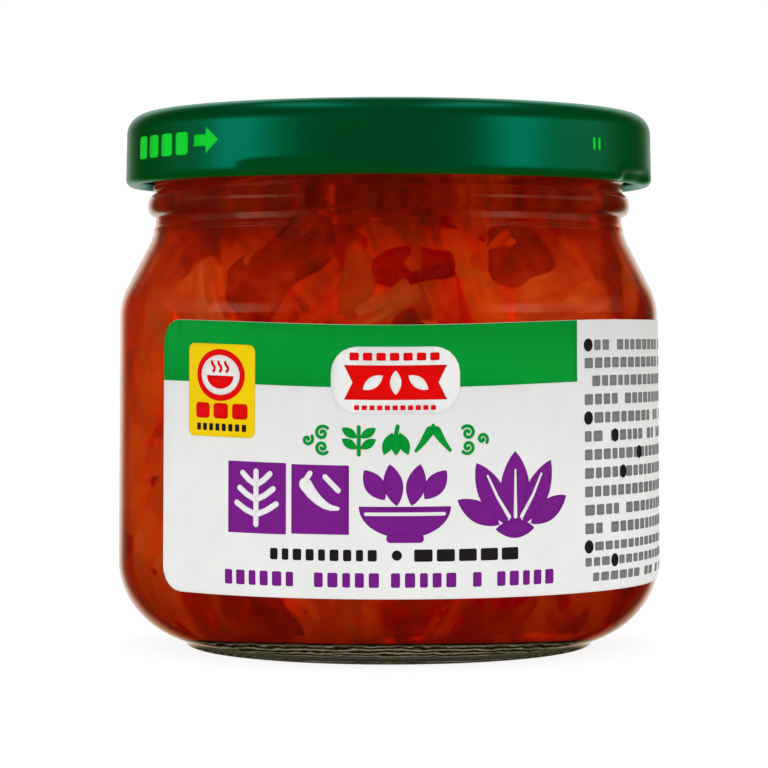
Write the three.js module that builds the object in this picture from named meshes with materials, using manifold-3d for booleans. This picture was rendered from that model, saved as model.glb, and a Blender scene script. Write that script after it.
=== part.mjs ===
// A squat glass jar of sliced kimchi with a twist-off metal lid and a wrap label.
// Millimetres, +Z up. The origin is the centre of the foot, on the surface the jar stands on,
// and the label faces -Y. Angles round the jar start at -Y and grow towards +X.
import * as THREE from "three";
import { mergeVertices } from "three/addons/utils/BufferGeometryUtils.js";
import Module from "manifold-3d";

const wasm = await Module();
wasm.setup();

const degrees = Math.PI / 180;
const fullTurn = 2 * Math.PI;

// Driving dimensions of the jar's outside.
const bodyRadius = 37.6; // widest, just above the heel
const bodyTopRadius = 37.35; // the wall narrows a little towards the shoulder
const heelCentre = { r: 24.57, z: 11.91 }; // the heel is a quarter ellipse
const heelSize = { r: 13.04, z: 11.63 };
const shoulderStart = 45.5; // height where the wall starts to turn in
const shoulderSlope = 27.2 * degrees; // lean of the shoulder's straight run
const shoulderBend = 8.9;
const neckRadius = 32.4;
const neckBend = 8.0;
const footRadius = 28.0; // outer edge of the ring that the jar stands on
const footTopRadius = 28.5;
const footTopHeight = 0.8;
const footInnerRadius = 24.6;
const footRounding = 1.6;
const pushUp = 1.9; // height of the hollow under the jar
const pushUpEdge = 1.5; // its height just inside the ring
const beadHeight = 60.8; // middle of the ring below the lid
const beadRadius = 33.5;
const beadLower = 1.45;
const beadUpper = 1.6;
const finishRadius = 32.6; // wall that carries the threads
const mouthHeight = 72.8;
const rimRounding = 0.8;

// Driving dimensions of the glass and of what it holds.
const wall = 2.3;
const floorHeight = 4.3;
const floorDome = 0.9;
const innerHeel = { r: 11.4, z: 9.0 };
const fillGap = 0.35; // room between the glass and the kimchi
const fillHeight = 66.5;
const coreInset = 2.3; // the pieces stand this proud of the heap's core
const coreDrop = 1.8;

// Driving dimensions of the threads.
const threadCount = 4;
const threadStart = -80 * degrees;
const threadSweep = 102 * degrees;
const threadLead = 2.9; // rise of one thread from end to end
const threadLow = 62.9;
const threadRoot = 32.0;
const threadCrest = 33.75;
const threadFade = 0.17; // share of the half length over which each end dies away
const threadRootHalf = 0.85;
const threadCrestHalf = 0.4;

// Driving dimensions of the lid.
const lidRadius = 36.5;
const lidTopRadius = 36.35;
const lidTop = 73.5;
const lidBottom = 63.55;
const lidSheet = 0.35;
const lidCorner = 2.8;
const curlRadius = 0.95;
const panelRadius = 27.5; // the sunk panel inside the raised ring
const panelSlope = 1.2;
const panelDepth = 0.7;
const buttonRadius = 10.5;
const buttonSlope = 1.0;
const buttonDepth = 0.3;
const lugCount = 4;
const lugStart = -33 * degrees;
const lugSweep = 24 * degrees;
const lugRise = 6 * degrees; // the dent starts sharply and ends softly
const lugFall = 10 * degrees;
const lugDepth = 1.0;
const lugInnerShare = 0.6; // the curl flattens, so its inner side moves less
const lugReach = 1.9; // height over which the dent fades out

// Driving dimensions of the label.
const labelFrom = -52.1 * degrees;
const labelTo = 245 * degrees;
const labelBottom = 9.4;
const labelTop = 44.3;
const labelBow = 0.8; // the upper edge climbs this much either side of the front
const labelBowAngle = 55 * degrees;
const labelCorner = 3.3;
const labelGap = 0.12;
const labelThickness = 0.18;

const glassSides = 40;
const lidSides = 60;
const envelopeSides = 32;
const coreSides = 16;

// The cuts of vegetable that lie against the glass, each with its sizes and the steps of its mesh.
const cuts = {
  rib: { length: [17, 25], width: [9, 13], thickness: [2.8, 3.8], wave: 0.6, mesh: [2, 1, 1] },
  leaf: { length: [15, 22], width: [12, 17], thickness: [1.0, 1.4], wave: 1.0, mesh: [2, 2, 1] },
  strip: { length: [16, 26], width: [2.2, 3.2], thickness: [2.4, 2.8], wave: 0.2, mesh: [3, 1, 1] },
  flake: { length: [1.8, 3.0], width: [1.3, 2.0], thickness: [2.6, 2.8], wave: 0.1, mesh: [1, 1, 1] },
};
const order = ["rib", "leaf", "strip", "rib", "leaf", "rib", "strip", "leaf", "rib", "leaf"];
const tiers = 6;
const piecesPerTier = 8;
const flakeCount = 8;
const flakeLow = 13;
const flakeHigh = 60;
const heapSeed = 41;
const jitter = 0.4; // share of its place that a piece may move in
const cutTaper = 0.25; // share of the width lost at each end of a piece
const waveAlong = 0.45; // radians of a piece's wave for each millimetre
const waveAcross = 0.6;
const pieceSink = 0.2; // the most forward pieces stay this far inside the heap's outline

// Points of an arc, from one angle to another, both measured from the profile's +r direction.
function arc(r, z, radiusR, radiusZ, from, to, steps) {
  const points = [];
  for (let i = 0; i <= steps; i++) {
    const a = from + ((to - from) * i) / steps;
    points.push(new THREE.Vector2(r + radiusR * Math.cos(a), z + radiusZ * Math.sin(a)));
  }
  return points;
}

// The wall, shoulder and neck of one surface of the glass, moved inwards by an inset.
function sideProfile(inset) {
  const neck = neckRadius - inset;
  const bend = shoulderBend - inset;
  const hollow = neckBend + inset;
  const shrink = 1 - Math.cos(shoulderSlope);
  const slopeStart = shoulderStart + bend * Math.sin(shoulderSlope);
  const slopeRun = bodyTopRadius - inset - bend * shrink - (neck + hollow * shrink);
  const neckStart = slopeStart + slopeRun / Math.tan(shoulderSlope) + hollow * Math.sin(shoulderSlope);
  return [
    ...arc(bodyTopRadius - inset - bend, shoulderStart, bend, bend, 0, shoulderSlope, 3),
    ...arc(neck + hollow, neckStart, hollow, hollow, Math.PI + shoulderSlope, Math.PI, 3),
  ];
}

// Outline of the hollow, from the axis up the wall, moved inwards by a gap.
function hollowProfile(gap, top) {
  const radius = bodyRadius - wall - gap;
  const heel = { r: innerHeel.r - gap / 2, z: innerHeel.z - gap / 2 };
  const base = floorHeight + gap;
  return [
    new THREE.Vector2(0, base + floorDome),
    ...arc(radius - heel.r, base + heel.z, heel.r, heel.z, -90 * degrees, 0, 4),
    ...sideProfile(wall + gap),
    new THREE.Vector2(neckRadius - wall - gap, top),
  ];
}

function lathe(profile, sides) {
  const geometry = new THREE.LatheGeometry(profile, sides);
  geometry.rotateX(90 * degrees);
  return geometry;
}

// A box whose points are carried round the jar. Its corners run from -1 to 1 in each direction,
// and place turns them into an angle, a height and a radius.
function bentBox(along, up, deep, place) {
  const geometry = new THREE.BoxGeometry(2, 2, 2, along, up, deep);
  const position = geometry.attributes.position;
  for (let i = 0; i < position.count; i++) {
    const { angle, z, radius } = place(position.getX(i), position.getY(i), position.getZ(i));
    position.setXYZ(i, radius * Math.sin(angle), -radius * Math.cos(angle), z);
  }
  return geometry;
}

// A solid for joining and cutting, from any closed geometry.
function solidOf(geometry) {
  const bare = geometry.clone();
  bare.deleteAttribute("normal");
  bare.deleteAttribute("uv");
  const merged = mergeVertices(bare);
  return new wasm.Manifold(
    new wasm.Mesh({
      numProp: 3,
      vertProperties: new Float32Array(merged.attributes.position.array),
      triVerts: new Uint32Array(merged.index.array),
    }),
  );
}

function geometryOf(solid) {
  const mesh = solid.getMesh();
  const geometry = new THREE.BufferGeometry();
  geometry.setAttribute("position", new THREE.BufferAttribute(new Float32Array(mesh.vertProperties), 3));
  geometry.setIndex(new THREE.BufferAttribute(new Uint32Array(mesh.triVerts), 1));
  geometry.computeVertexNormals();
  return geometry;
}

// One ridge of the screw finish, climbing to the right, with both ends dying into the wall.
function thread(index) {
  const start = threadStart + (index * fullTurn) / threadCount;
  const steps = 12;
  return bentBox(steps, 1, 1, (along, up, out) => {
    const share = (along + 1) / 2;
    const fade = Math.min(1, (1 - Math.abs(along)) / threadFade);
    const crest = finishRadius + (threadCrest - finishRadius) * fade;
    const half = out > 0 ? threadCrestHalf : threadRootHalf;
    return {
      angle: start + threadSweep * share,
      z: threadLow + threadLead * share + up * half,
      radius: out > 0 ? crest : threadRoot,
    };
  });
}

function glassJar() {
  const footMiddle = footInnerRadius - footRounding;
  const rimZ = mouthHeight - rimRounding;
  const quarter = 90 * degrees;
  const outside = [
    new THREE.Vector2(0, pushUp),
    ...arc(footMiddle, 0, footRounding, pushUpEdge, quarter, 0, 2),
    new THREE.Vector2(footRadius, 0),
    new THREE.Vector2(footTopRadius, footTopHeight),
    ...arc(heelCentre.r, heelCentre.z, heelSize.r, heelSize.z, -60 * degrees, 0, 5),
    ...sideProfile(0),
    ...arc(neckRadius, beadHeight, beadRadius - neckRadius, beadLower, -quarter, 0, 2),
    ...arc(finishRadius, beadHeight, beadRadius - finishRadius, beadUpper, quarter / 2, quarter, 1),
    ...arc(finishRadius - rimRounding, rimZ, rimRounding, rimRounding, 0, quarter, 2),
  ];
  const inside = [
    ...arc(neckRadius - wall + rimRounding, rimZ, rimRounding, rimRounding, quarter, 2 * quarter, 2),
    ...hollowProfile(0, fillHeight).reverse(),
  ];
  let jar = solidOf(lathe([...outside, ...inside], glassSides));
  for (let i = 0; i < threadCount; i++) {
    jar = jar.add(solidOf(thread(i)));
  }
  return geometryOf(jar);
}

// Runs from 0 to 1 with soft ends as x does.
function smooth(x) {
  const t = Math.min(1, Math.max(0, x));
  return t * t * (3 - 2 * t);
}

// How far the lower skirt is pushed in, from 0 to 1, at an angle round the lid.
function lugShare(angle) {
  const pitch = fullTurn / lugCount;
  const local = (((angle - lugStart) % pitch) + pitch) % pitch;
  return smooth(local / lugRise) * smooth((lugSweep - local) / lugFall);
}

function lid() {
  const curlZ = lidBottom + curlRadius;
  const cornerR = lidTopRadius - lidCorner;
  const cornerZ = lidTop - lidCorner;
  const panelTop = (z) => [
    new THREE.Vector2(0, z - panelDepth - buttonDepth),
    new THREE.Vector2(buttonRadius, z - panelDepth - buttonDepth),
    new THREE.Vector2(buttonRadius + buttonSlope, z - panelDepth),
    new THREE.Vector2(panelRadius, z - panelDepth),
    new THREE.Vector2(panelRadius + panelSlope, z),
  ];
  const corner = (size) => arc(cornerR, cornerZ, size, size, 90 * degrees, 0, 3);
  const profile = [
    ...panelTop(lidTop - lidSheet),
    ...corner(lidCorner - lidSheet),
    new THREE.Vector2(lidRadius - lidSheet, curlZ + lugReach),
    ...arc(lidRadius - curlRadius, curlZ, curlRadius, curlRadius, 115 * degrees, 360 * degrees, 6),
    new THREE.Vector2(lidRadius, curlZ + lugReach / 2),
    new THREE.Vector2(lidRadius, curlZ + lugReach),
    ...corner(lidCorner).reverse(),
    ...panelTop(lidTop).reverse(),
  ];
  const geometry = lathe(profile, lidSides);
  const position = geometry.attributes.position;
  for (let i = 0; i < position.count; i++) {
    const [x, y, z] = [position.getX(i), position.getY(i), position.getZ(i)];
    const radius = Math.hypot(x, y);
    if (radius < cornerR) continue;
    const outwards = smooth((radius - lidRadius + 2 * curlRadius) / (2 * curlRadius));
    const share = lugInnerShare + (1 - lugInnerShare) * outwards;
    const push = lugDepth * lugShare(Math.atan2(x, -y)) * share * (1 - smooth((z - curlZ) / lugReach));
    const scale = (radius - push) / radius;
    position.setXYZ(i, x * scale, y * scale, z);
  }
  return geometryOf(solidOf(geometry));
}

// Outer radius of the glass behind the label, at a height.
function bodyRadiusAt(z) {
  const share = (z - heelCentre.z) / (shoulderStart - heelCentre.z);
  const below = Math.min(0, z - heelCentre.z) / heelSize.z;
  return share < 0
    ? heelCentre.r + heelSize.r * Math.sqrt(1 - below * below)
    : bodyRadius + (bodyTopRadius - bodyRadius) * share;
}

// Height that a rounded corner takes from the label's upper and lower edge, at an angle.
function cornerCut(angle) {
  const distance = Math.min(angle - labelFrom, labelTo - angle) * bodyRadius;
  const inside = Math.max(0, labelCorner - distance);
  return labelCorner - Math.sqrt(labelCorner ** 2 - inside ** 2);
}

function label() {
  const columns = 54;
  const cornerColumns = 4;
  const cornerAngle = labelCorner / bodyRadius;
  const step = (labelTo - labelFrom - 2 * cornerAngle) / (columns - 2 * cornerColumns);
  return bentBox(columns, 2, 1, (along, up, out) => {
    const column = Math.round(((along + 1) / 2) * columns);
    const fromEnd = Math.min(column, columns - column);
    const turned = (Math.min(fromEnd, cornerColumns) / cornerColumns) * 90 * degrees;
    const sweep = cornerAngle * (1 - Math.cos(turned)) + Math.max(0, fromEnd - cornerColumns) * step;
    const angle = column === fromEnd ? labelFrom + sweep : labelTo - sweep;
    const low = labelBottom + cornerCut(angle);
    const high = labelTop + labelBow * smooth(Math.abs(angle) / labelBowAngle) - cornerCut(angle);
    const z = up === 0 ? heelCentre.z : up < 0 ? low : high;
    return { angle, z, radius: bodyRadiusAt(z) + labelGap + (out > 0 ? labelThickness : 0) };
  });
}

// Radius of an outline at a height, between its points.
function radiusAt(outline, z) {
  const next = Math.max(2, outline.findIndex((point) => point.x > 1 && point.y >= z));
  const [a, b] = [outline[next - 1], outline[next]];
  return THREE.MathUtils.mapLinear(z, a.y, b.y, a.x, b.x);
}

// A repeatable source of numbers from 0 to 1.
function randomFrom(seed) {
  let state = seed;
  return () => {
    state = (state * 1664525 + 1013904223) % 4294967296;
    return state / 4294967296;
  };
}

// One cut piece, laid along the hollow's wall at an angle and a height, and turned in its place.
function cutPiece(cut, outline, random, angle, height) {
  const pick = ([low, high]) => low + (high - low) * random();
  const length = pick(cut.length);
  const width = pick(cut.width);
  const thickness = pick(cut.thickness);
  const turn = (random() - 0.5) * Math.PI;
  const phase = random() * fullTurn;
  const [lowest, highest] = [outline[2].y, outline.at(-1).y];
  return bentBox(...cut.mesh, (along, up, out) => {
    const u = (along * length) / 2;
    const v = ((up * width) / 2) * (1 - cutTaper * along * along);
    const wave = cut.wave * (1 + Math.sin(phase + u * waveAlong + v * waveAcross));
    const side = u * Math.cos(turn) - v * Math.sin(turn);
    const z = height + u * Math.sin(turn) + v * Math.cos(turn);
    const face = radiusAt(outline, THREE.MathUtils.clamp(z, lowest, highest)) - pieceSink - wave;
    return { angle: angle + side / (bodyRadius - wall), z, radius: out > 0 ? face : face - thickness };
  });
}

function kimchi() {
  const closed = (points) => [...points, new THREE.Vector2(0, points.at(-1).y)];
  const outline = hollowProfile(fillGap, fillHeight);
  const core = hollowProfile(fillGap + coreInset, fillHeight - coreDrop);
  const tierHeight = (fillHeight - floorHeight) / tiers;
  const random = randomFrom(heapSeed);
  let heap = solidOf(lathe(closed(core), coreSides));
  const addPiece = (cut, angle, height) => {
    heap = heap.add(solidOf(cutPiece(cut, outline, random, angle, height)));
  };
  for (let i = 0; i < tiers * piecesPerTier; i++) {
    const tier = Math.floor(i / piecesPerTier);
    const place = (i % piecesPerTier) + (tier % 2) / 2 + jitter * random();
    const height = floorHeight + (tier + 0.5 + jitter * (random() - 0.5)) * tierHeight;
    addPiece(cuts[order[i % order.length]], (place * fullTurn) / piecesPerTier, height);
  }
  for (let i = 0; i < flakeCount; i++) {
    addPiece(cuts.flake, random() * fullTurn, flakeLow + (flakeHigh - flakeLow) * random());
  }
  heap = heap.intersect(solidOf(lathe(closed(outline), envelopeSides)));
  const [largest] = heap.decompose().sort((a, b) => b.volume() - a.volume());
  return geometryOf(largest);
}

function part(name, geometry, look) {
  const mesh = new THREE.Mesh(geometry, new THREE.MeshStandardMaterial(look));
  mesh.name = name;
  return mesh;
}

const clearGlass = { color: 0xdfe8e4, roughness: 0.03, transparent: true, opacity: 0.35 };
const chilliRed = { color: 0xb0360f, roughness: 0.35 };
const whitePaper = { color: 0xe8e8e6, roughness: 0.5 };
const greenLacquer = { color: 0x00552a, roughness: 0.3, metalness: 0.6 };

const jar = new THREE.Group();
jar.add(
  part("glass_jar", glassJar(), clearGlass),
  part("kimchi", kimchi(), chilliRed),
  part("label", label(), whitePaper),
  part("lid", lid(), greenLacquer),
);

export default jar;
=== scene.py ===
"""A jar of sliced kimchi: the glass, the twist-off lid, the printed wrap label and what the jar holds."""

import math
import random

import bmesh
import bpy
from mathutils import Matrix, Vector, noise


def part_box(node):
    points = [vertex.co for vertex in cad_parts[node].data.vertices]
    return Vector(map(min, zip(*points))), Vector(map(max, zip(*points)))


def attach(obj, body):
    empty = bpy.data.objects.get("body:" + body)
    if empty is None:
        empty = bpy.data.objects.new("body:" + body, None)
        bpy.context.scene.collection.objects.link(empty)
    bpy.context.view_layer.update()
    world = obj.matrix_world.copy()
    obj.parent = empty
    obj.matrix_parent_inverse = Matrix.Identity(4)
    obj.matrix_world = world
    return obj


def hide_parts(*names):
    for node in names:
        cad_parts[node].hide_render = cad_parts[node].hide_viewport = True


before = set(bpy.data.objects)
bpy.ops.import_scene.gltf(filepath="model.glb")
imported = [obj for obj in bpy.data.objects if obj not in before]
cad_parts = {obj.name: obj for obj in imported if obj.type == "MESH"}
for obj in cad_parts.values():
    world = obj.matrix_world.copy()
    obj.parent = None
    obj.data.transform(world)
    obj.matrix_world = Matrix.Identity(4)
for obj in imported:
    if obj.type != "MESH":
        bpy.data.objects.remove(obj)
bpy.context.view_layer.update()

bl_info = {
    "name": "Kimchi Jar",
    "version": (1, 0, 0),
    "blender": (4, 5, 0),
    "location": "View3D > Sidebar > Kimchi Jar",
    "description": "Builds a glass jar of sliced kimchi with its lid and label",
    "category": "Add Mesh",
}

MM = 0.001
ROOT = "root"

glass_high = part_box("glass_jar")[1]
lid_low, lid_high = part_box("lid")
label_low, label_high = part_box("label")
heap_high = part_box("kimchi")[1]

# The glass outside, as radii and heights from the middle of the foot, with angles in degrees.
BODY_RADIUS = glass_high.x
BODY_TOP_RADIUS = BODY_RADIUS - 0.26 * MM
HEEL_CENTRE = (24.57 * MM, 11.91 * MM)
HEEL_RADII = (BODY_RADIUS - HEEL_CENTRE[0], 11.63 * MM)
HEEL_FROM = -71
SHOULDER_START = 45.5 * MM
SHOULDER_LEAN = 27.2
SHOULDER_BEND = 8.9 * MM
NECK_RADIUS = 32.4 * MM
NECK_BEND = 8.0 * MM
FOOT_RADIUS = 28.0 * MM
FOOT_INNER_RADIUS = 24.6 * MM
FOOT_INNER_BEND = (1.6 * MM, 1.5 * MM)
FOOT_OUTER_BEND = (0.8 * MM, 0.5 * MM)
FOOT_FLAT_FROM = FOOT_INNER_RADIUS + 0.5 * MM
FOOT_FLAT_TO = FOOT_RADIUS - 0.4 * MM
PUSH_UP = 1.9 * MM
BEAD_HEIGHT = 60.8 * MM
BEAD_RADIUS = 33.5 * MM
BEAD_LOWER = 1.45 * MM
BEAD_UPPER = 1.6 * MM
RIDGE_HEIGHT = 57.7 * MM
RIDGE_HALF = 0.45 * MM
RIDGE_LIFT = 0.12 * MM
FINISH_RADIUS = 32.6 * MM
MOUTH_HEIGHT = glass_high.z
RIM_ROUNDING = 0.8 * MM
SURFACE_SLACK = 0.2 * MM

# The glass inside.
WALL = 2.3 * MM
FLOOR_HEIGHT = 4.3 * MM
FLOOR_DOME = 0.9 * MM
FLOOR_RADIUS = 24 * MM
INNER_HEEL = (11.4 * MM, 9.0 * MM)
FILL_HEIGHT = heap_high.z
SAUCE_OVERLAP = 0.15 * MM
# Below this height the sauce carries the painted reflection of the base.
MIRRORED_BELOW = 4.95 * MM

# The threads and the lid's lugs, both right-handed, with angles in degrees.
THREADS = 4
THREAD_START = -80.0
THREAD_SWEEP = 102.0
THREAD_RISE = 2.9 * MM
THREAD_LOW = 62.9 * MM
THREAD_HEIGHT = 1.05 * MM
THREAD_HALF = 0.85 * MM
THREAD_FADE = 0.09
LUGS = 4
LUG_START = -33.0
LUG_SWEEP = 24.0
LUG_RISE = 6.0
LUG_FALL = 10.0
LUG_DEPTH = 0.85 * MM
LUG_INNER_SHARE = 0.6
LUG_REACH = 1.0 * MM

LID_RADIUS = lid_high.x
LID_TOP_RADIUS = LID_RADIUS - 0.15 * MM
LID_TOP = lid_high.z
LID_BOTTOM = lid_low.z
LID_SHEET = 0.35 * MM
LID_CORNER = 2.8 * MM
CURL_RADIUS = 0.95 * MM
CURL_HEIGHT = LID_BOTTOM + CURL_RADIUS
CURL_FROM = 125
CURL_CLEARANCE = 0.6 * MM
PANEL_RADIUS = 27.5 * MM
PANEL_SLOPE = 1.2 * MM
PANEL_DEPTH = 0.7 * MM
BUTTON_RADIUS = 10.5 * MM
BUTTON_SLOPE = 1.0 * MM
BUTTON_DEPTH = 0.3 * MM

# The label, laid flat: across runs from the middle of the front to the right.
LABEL_RADIUS = BODY_RADIUS + 0.05 * MM
LABEL_FROM = -52.1
LABEL_TO = 245.0
LABEL_BOTTOM = label_low.z
LABEL_TOP = 44.3 * MM
LABEL_BOW = label_high.z - LABEL_TOP
LABEL_BOW_ANGLE = 55.0
BOW_FULL = 36.3 * MM
LABEL_CORNER = 3.3 * MM
GLUE = 0.02 * MM
WRAP_STEP = 1.5 * MM
FINE_STEP = 1.0 * MM
WIDE_STEP = 2.0 * MM
HEEL_SLICES = 7
HEEL_SLICES_TOP = HEEL_CENTRE[1] + 1 * MM
OVERLAP_LIFT = 0.001 * MM
LIFTS = 5
MERGE_DISTANCE = 0.002 * MM
CUT_DISTANCE = 0.001 * MM

# The camera, from the curves of the lid, the shoulder, the label and the base. Its turns are in degrees.
CAMERA_DISTANCE = 407 * MM
CAMERA_HEIGHT = 42.75 * MM
CAMERA_LENS = 136.5
CAMERA_PITCH = -0.924
CAMERA_YAW = 0.0905


def srgb(red, green, blue):
    """A linear colour from the 0 to 255 values of a screen."""
    values = []
    for value in (red, green, blue):
        share = value / 255
        values.append(share / 12.92 if share <= 0.04045 else ((share + 0.055) / 1.055) ** 2.4)
    return tuple(values)


def smooth(x):
    """Runs from 0 to 1 with soft ends as x does."""
    t = min(1.0, max(0.0, x))
    return t * t * (3 - 2 * t)


def between(levels, place):
    """The value at a place, between the pairs of place and value on its two sides."""
    for (start, low), (end, high) in zip(levels, levels[1:]):
        if start <= place <= end:
            return low + (high - low) * (place - start) / (end - start)
    return levels[-1][1] if place > levels[-1][0] else levels[0][1]


def colour(name, description, value):
    """A colour property."""
    return bpy.props.FloatVectorProperty(name=name, description=description, subtype="COLOR", default=value)


def length(name, description, millimetres):
    """A size property with its default in millimetres."""
    return bpy.props.FloatProperty(
        name=name, description=description, default=millimetres * MM, min=0.0, precision=5, unit="LENGTH"
    )


def count(name, description, value):
    """A property that counts pieces."""
    return bpy.props.IntProperty(name=name, description=description, default=value, min=0)


class JarColours(bpy.types.PropertyGroup):
    """The colours that a maker of another jar would change."""

    lid: colour("Lid lacquer", "Green lacquer of the lid", srgb(0, 75, 8))
    lid_mark: colour("Lid mark", "Bright print on the lid's skirt", srgb(12, 205, 45))
    paper: colour("Paper", "White of the label", srgb(233, 233, 231))
    green: colour("Green ink", "Band along the label's top", srgb(0, 147, 50))
    yellow: colour("Yellow ink", "Badge at the label's left", srgb(236, 201, 3))
    red: colour("Red ink", "Banner and badge motif", srgb(222, 3, 3))
    purple: colour("Purple ink", "Large vegetable motifs", srgb(118, 28, 134))
    black: colour("Black ink", "Lines of small bars", srgb(34, 30, 32))
    grey: colour("Grey ink", "Side lines and table", srgb(122, 122, 122))
    sauce: colour("Sauce", "Haze of the sauce behind the glass", (0.97, 0.2, 0.04))


class JarSizes(bpy.types.PropertyGroup):
    """The sizes that a maker of another jar would change."""

    paper: length("Paper", "Thickness of the label with its glue", 0.12)
    ink: length("Ink", "Thickness of one layer of ink", 0.02)
    band: length("Green band", "Lower edge of the green band above the table", 36.3)
    rib: length("Rib", "Longest cut of cabbage rib", 27.0)
    leaf: length("Leaf", "Longest cut of leaf", 24.0)
    strip: length("Strip", "Longest strip of carrot", 28.0)
    flake: length("Flake", "Longest flake of chilli", 1.9)


class JarContents(bpy.types.PropertyGroup):
    """How much of each cut of vegetable the jar holds."""

    rib: count("Ribs", "Thick white cuts of cabbage", 78)
    leaf: count("Leaves", "Thin crumpled cuts of leaf", 60)
    strip: count("Strips", "Orange sticks of carrot", 34)
    flake: count("Flakes", "Flakes of dried chilli", 210)
    seed: bpy.props.IntProperty(name="Seed", description="Start of the random places", default=7)


def arc(centre, radii, start, end, steps):
    """Points of an arc of radius and height, with angles in degrees from straight out."""
    points = []
    for i in range(steps + 1):
        angle = math.radians(start + (end - start) * i / steps)
        points.append((centre[0] + radii[0] * math.cos(angle), centre[1] + radii[1] * math.sin(angle)))
    return points


def line(start, end, steps):
    """Points between two others, without the first."""
    made = []
    for i in range(1, steps + 1):
        share = i / steps
        made.append((start[0] + (end[0] - start[0]) * share, start[1] + (end[1] - start[1]) * share))
    return made


def side_profile(inset):
    """The shoulder and neck of one surface of the glass, moved inwards by an inset."""
    lean = math.radians(SHOULDER_LEAN)
    neck = NECK_RADIUS - inset
    bend = SHOULDER_BEND - inset
    hollow = NECK_BEND + inset
    shrink = 1 - math.cos(lean)
    slope_start = SHOULDER_START + bend * math.sin(lean)
    slope_run = BODY_TOP_RADIUS - inset - bend * shrink - (neck + hollow * shrink)
    neck_start = slope_start + slope_run / math.tan(lean) + hollow * math.sin(lean)
    shoulder = arc((BODY_TOP_RADIUS - inset - bend, SHOULDER_START), (bend, bend), 0, SHOULDER_LEAN, 12)
    throat = arc((neck + hollow, neck_start), (hollow, hollow), 180 + SHOULDER_LEAN, 180, 24)
    return shoulder + line(shoulder[-1], throat[0], 6) + throat[1:]


def hollow_profile(inset, top):
    """The glass inside, from the axis up the wall, moved inwards by an inset."""
    radius = BODY_RADIUS - WALL - inset
    heel = (INNER_HEEL[0] - inset / 2, INNER_HEEL[1] - inset / 2)
    base = FLOOR_HEIGHT + inset
    floor_edge = (radius - heel[0], base)
    floor = [(0, base + FLOOR_DOME)]
    for i in range(1, 10):
        share = i / 10
        floor.append((floor_edge[0] * share, base + FLOOR_DOME * (1 - smooth(share))))
    corner = arc((floor_edge[0], base + heel[1]), heel, -90, 0, 20)
    side = side_profile(WALL + inset)
    neck = line(side[-1], (side[-1][0], top), 4)
    return floor + corner + line(corner[-1], side[0], 12) + side[1:] + neck


def radius_at(profile, height):
    """The radius of a profile's wall at a height, leaving out the floor near the axis."""
    for (low_r, low_z), (high_r, high_z) in zip(profile, profile[1:]):
        if low_z <= height <= high_z and high_z > low_z and low_r > FLOOR_RADIUS / 2:
            return low_r + (high_r - low_r) * (height - low_z) / (high_z - low_z)
    return profile[-1][0] if height > profile[-1][1] else FLOOR_RADIUS


def body_radius_at(height):
    """The glass's outer radius behind the label."""
    if height < HEEL_CENTRE[1]:
        below = (HEEL_CENTRE[1] - height) / HEEL_RADII[1]
        return HEEL_CENTRE[0] + HEEL_RADII[0] * math.sqrt(max(0.0, 1 - below * below))
    share = (height - HEEL_CENTRE[1]) / (SHOULDER_START - HEEL_CENTRE[1])
    return BODY_RADIUS + (BODY_TOP_RADIUS - BODY_RADIUS) * share


def spun(profile, segments):
    """A mesh made by turning a profile once round the jar's axis."""
    bm = bmesh.new()
    points = [bm.verts.new((radius, 0, height)) for radius, height in profile]
    edges = [bm.edges.new(pair) for pair in zip(points, points[1:])]
    turn = {"cent": (0, 0, 0), "axis": (0, 0, 1), "angle": math.tau}
    bmesh.ops.spin(bm, geom=points + edges, steps=segments, use_merge=True, **turn)
    bmesh.ops.remove_doubles(bm, verts=bm.verts, dist=MERGE_DISTANCE)
    bmesh.ops.recalc_face_normals(bm, faces=bm.faces)
    return bm


def new_object(name, bm, material):
    """An object in the scene from a mesh, which is freed."""
    mesh = bpy.data.meshes.new(name)
    bm.to_mesh(mesh)
    bm.free()
    mesh.materials.append(material)
    obj = bpy.data.objects.new(name, mesh)
    bpy.context.scene.collection.objects.link(obj)
    return obj


def piece(name, bm, material, replaced=None):
    """A finished object from a mesh, riding on the jar."""
    for face in bm.faces:
        face.smooth = True
    obj = new_object(name, bm, material)
    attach(obj, ROOT)
    if replaced:
        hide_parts(replaced)
    return obj


def new_material(name):
    """A material with its node tree, its shader and its output."""
    material = bpy.data.materials.new(name)
    material.use_nodes = True
    tree = material.node_tree
    return material, tree, tree.nodes["Principled BSDF"], tree.nodes["Material Output"]


def fill(tree, node, inputs):
    """Sets a node's inputs to values, or links them to the outputs of other nodes."""
    for name, value in inputs.items():
        if isinstance(value, bpy.types.NodeSocket):
            tree.links.new(value, node.inputs[name])
        else:
            node.inputs[name].default_value = value


def add_node(tree, kind, inputs):
    """A node with its inputs filled."""
    node = tree.nodes.new(kind)
    fill(tree, node, inputs)
    return node


def object_coordinates(tree, scale=(1, 1, 1)):
    """Coordinates of the object, scaled in the three directions."""
    coordinates = tree.nodes.new("ShaderNodeTexCoord").outputs["Object"]
    return add_node(tree, "ShaderNodeMapping", {"Vector": coordinates, "Scale": scale}).outputs["Vector"]


def attribute(tree, name):
    """A node that reads a piece's own attribute."""
    node = tree.nodes.new("ShaderNodeAttribute")
    node.attribute_name = name
    return node


def noise_node(tree, vector, scale, detail=3.0, roughness=0.5, distortion=0.0):
    """A noise texture on given coordinates."""
    inputs = {"Vector": vector, "Scale": scale, "Detail": detail, "Roughness": roughness}
    return add_node(tree, "ShaderNodeTexNoise", {**inputs, "Distortion": distortion}).outputs["Fac"]


def multiplied(tree, value, factor, added):
    """A value times a factor, with another value added."""
    node = add_node(tree, "ShaderNodeMath", {0: value, 1: factor, 2: added})
    node.operation = "MULTIPLY_ADD"
    return node.outputs[0]


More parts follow.
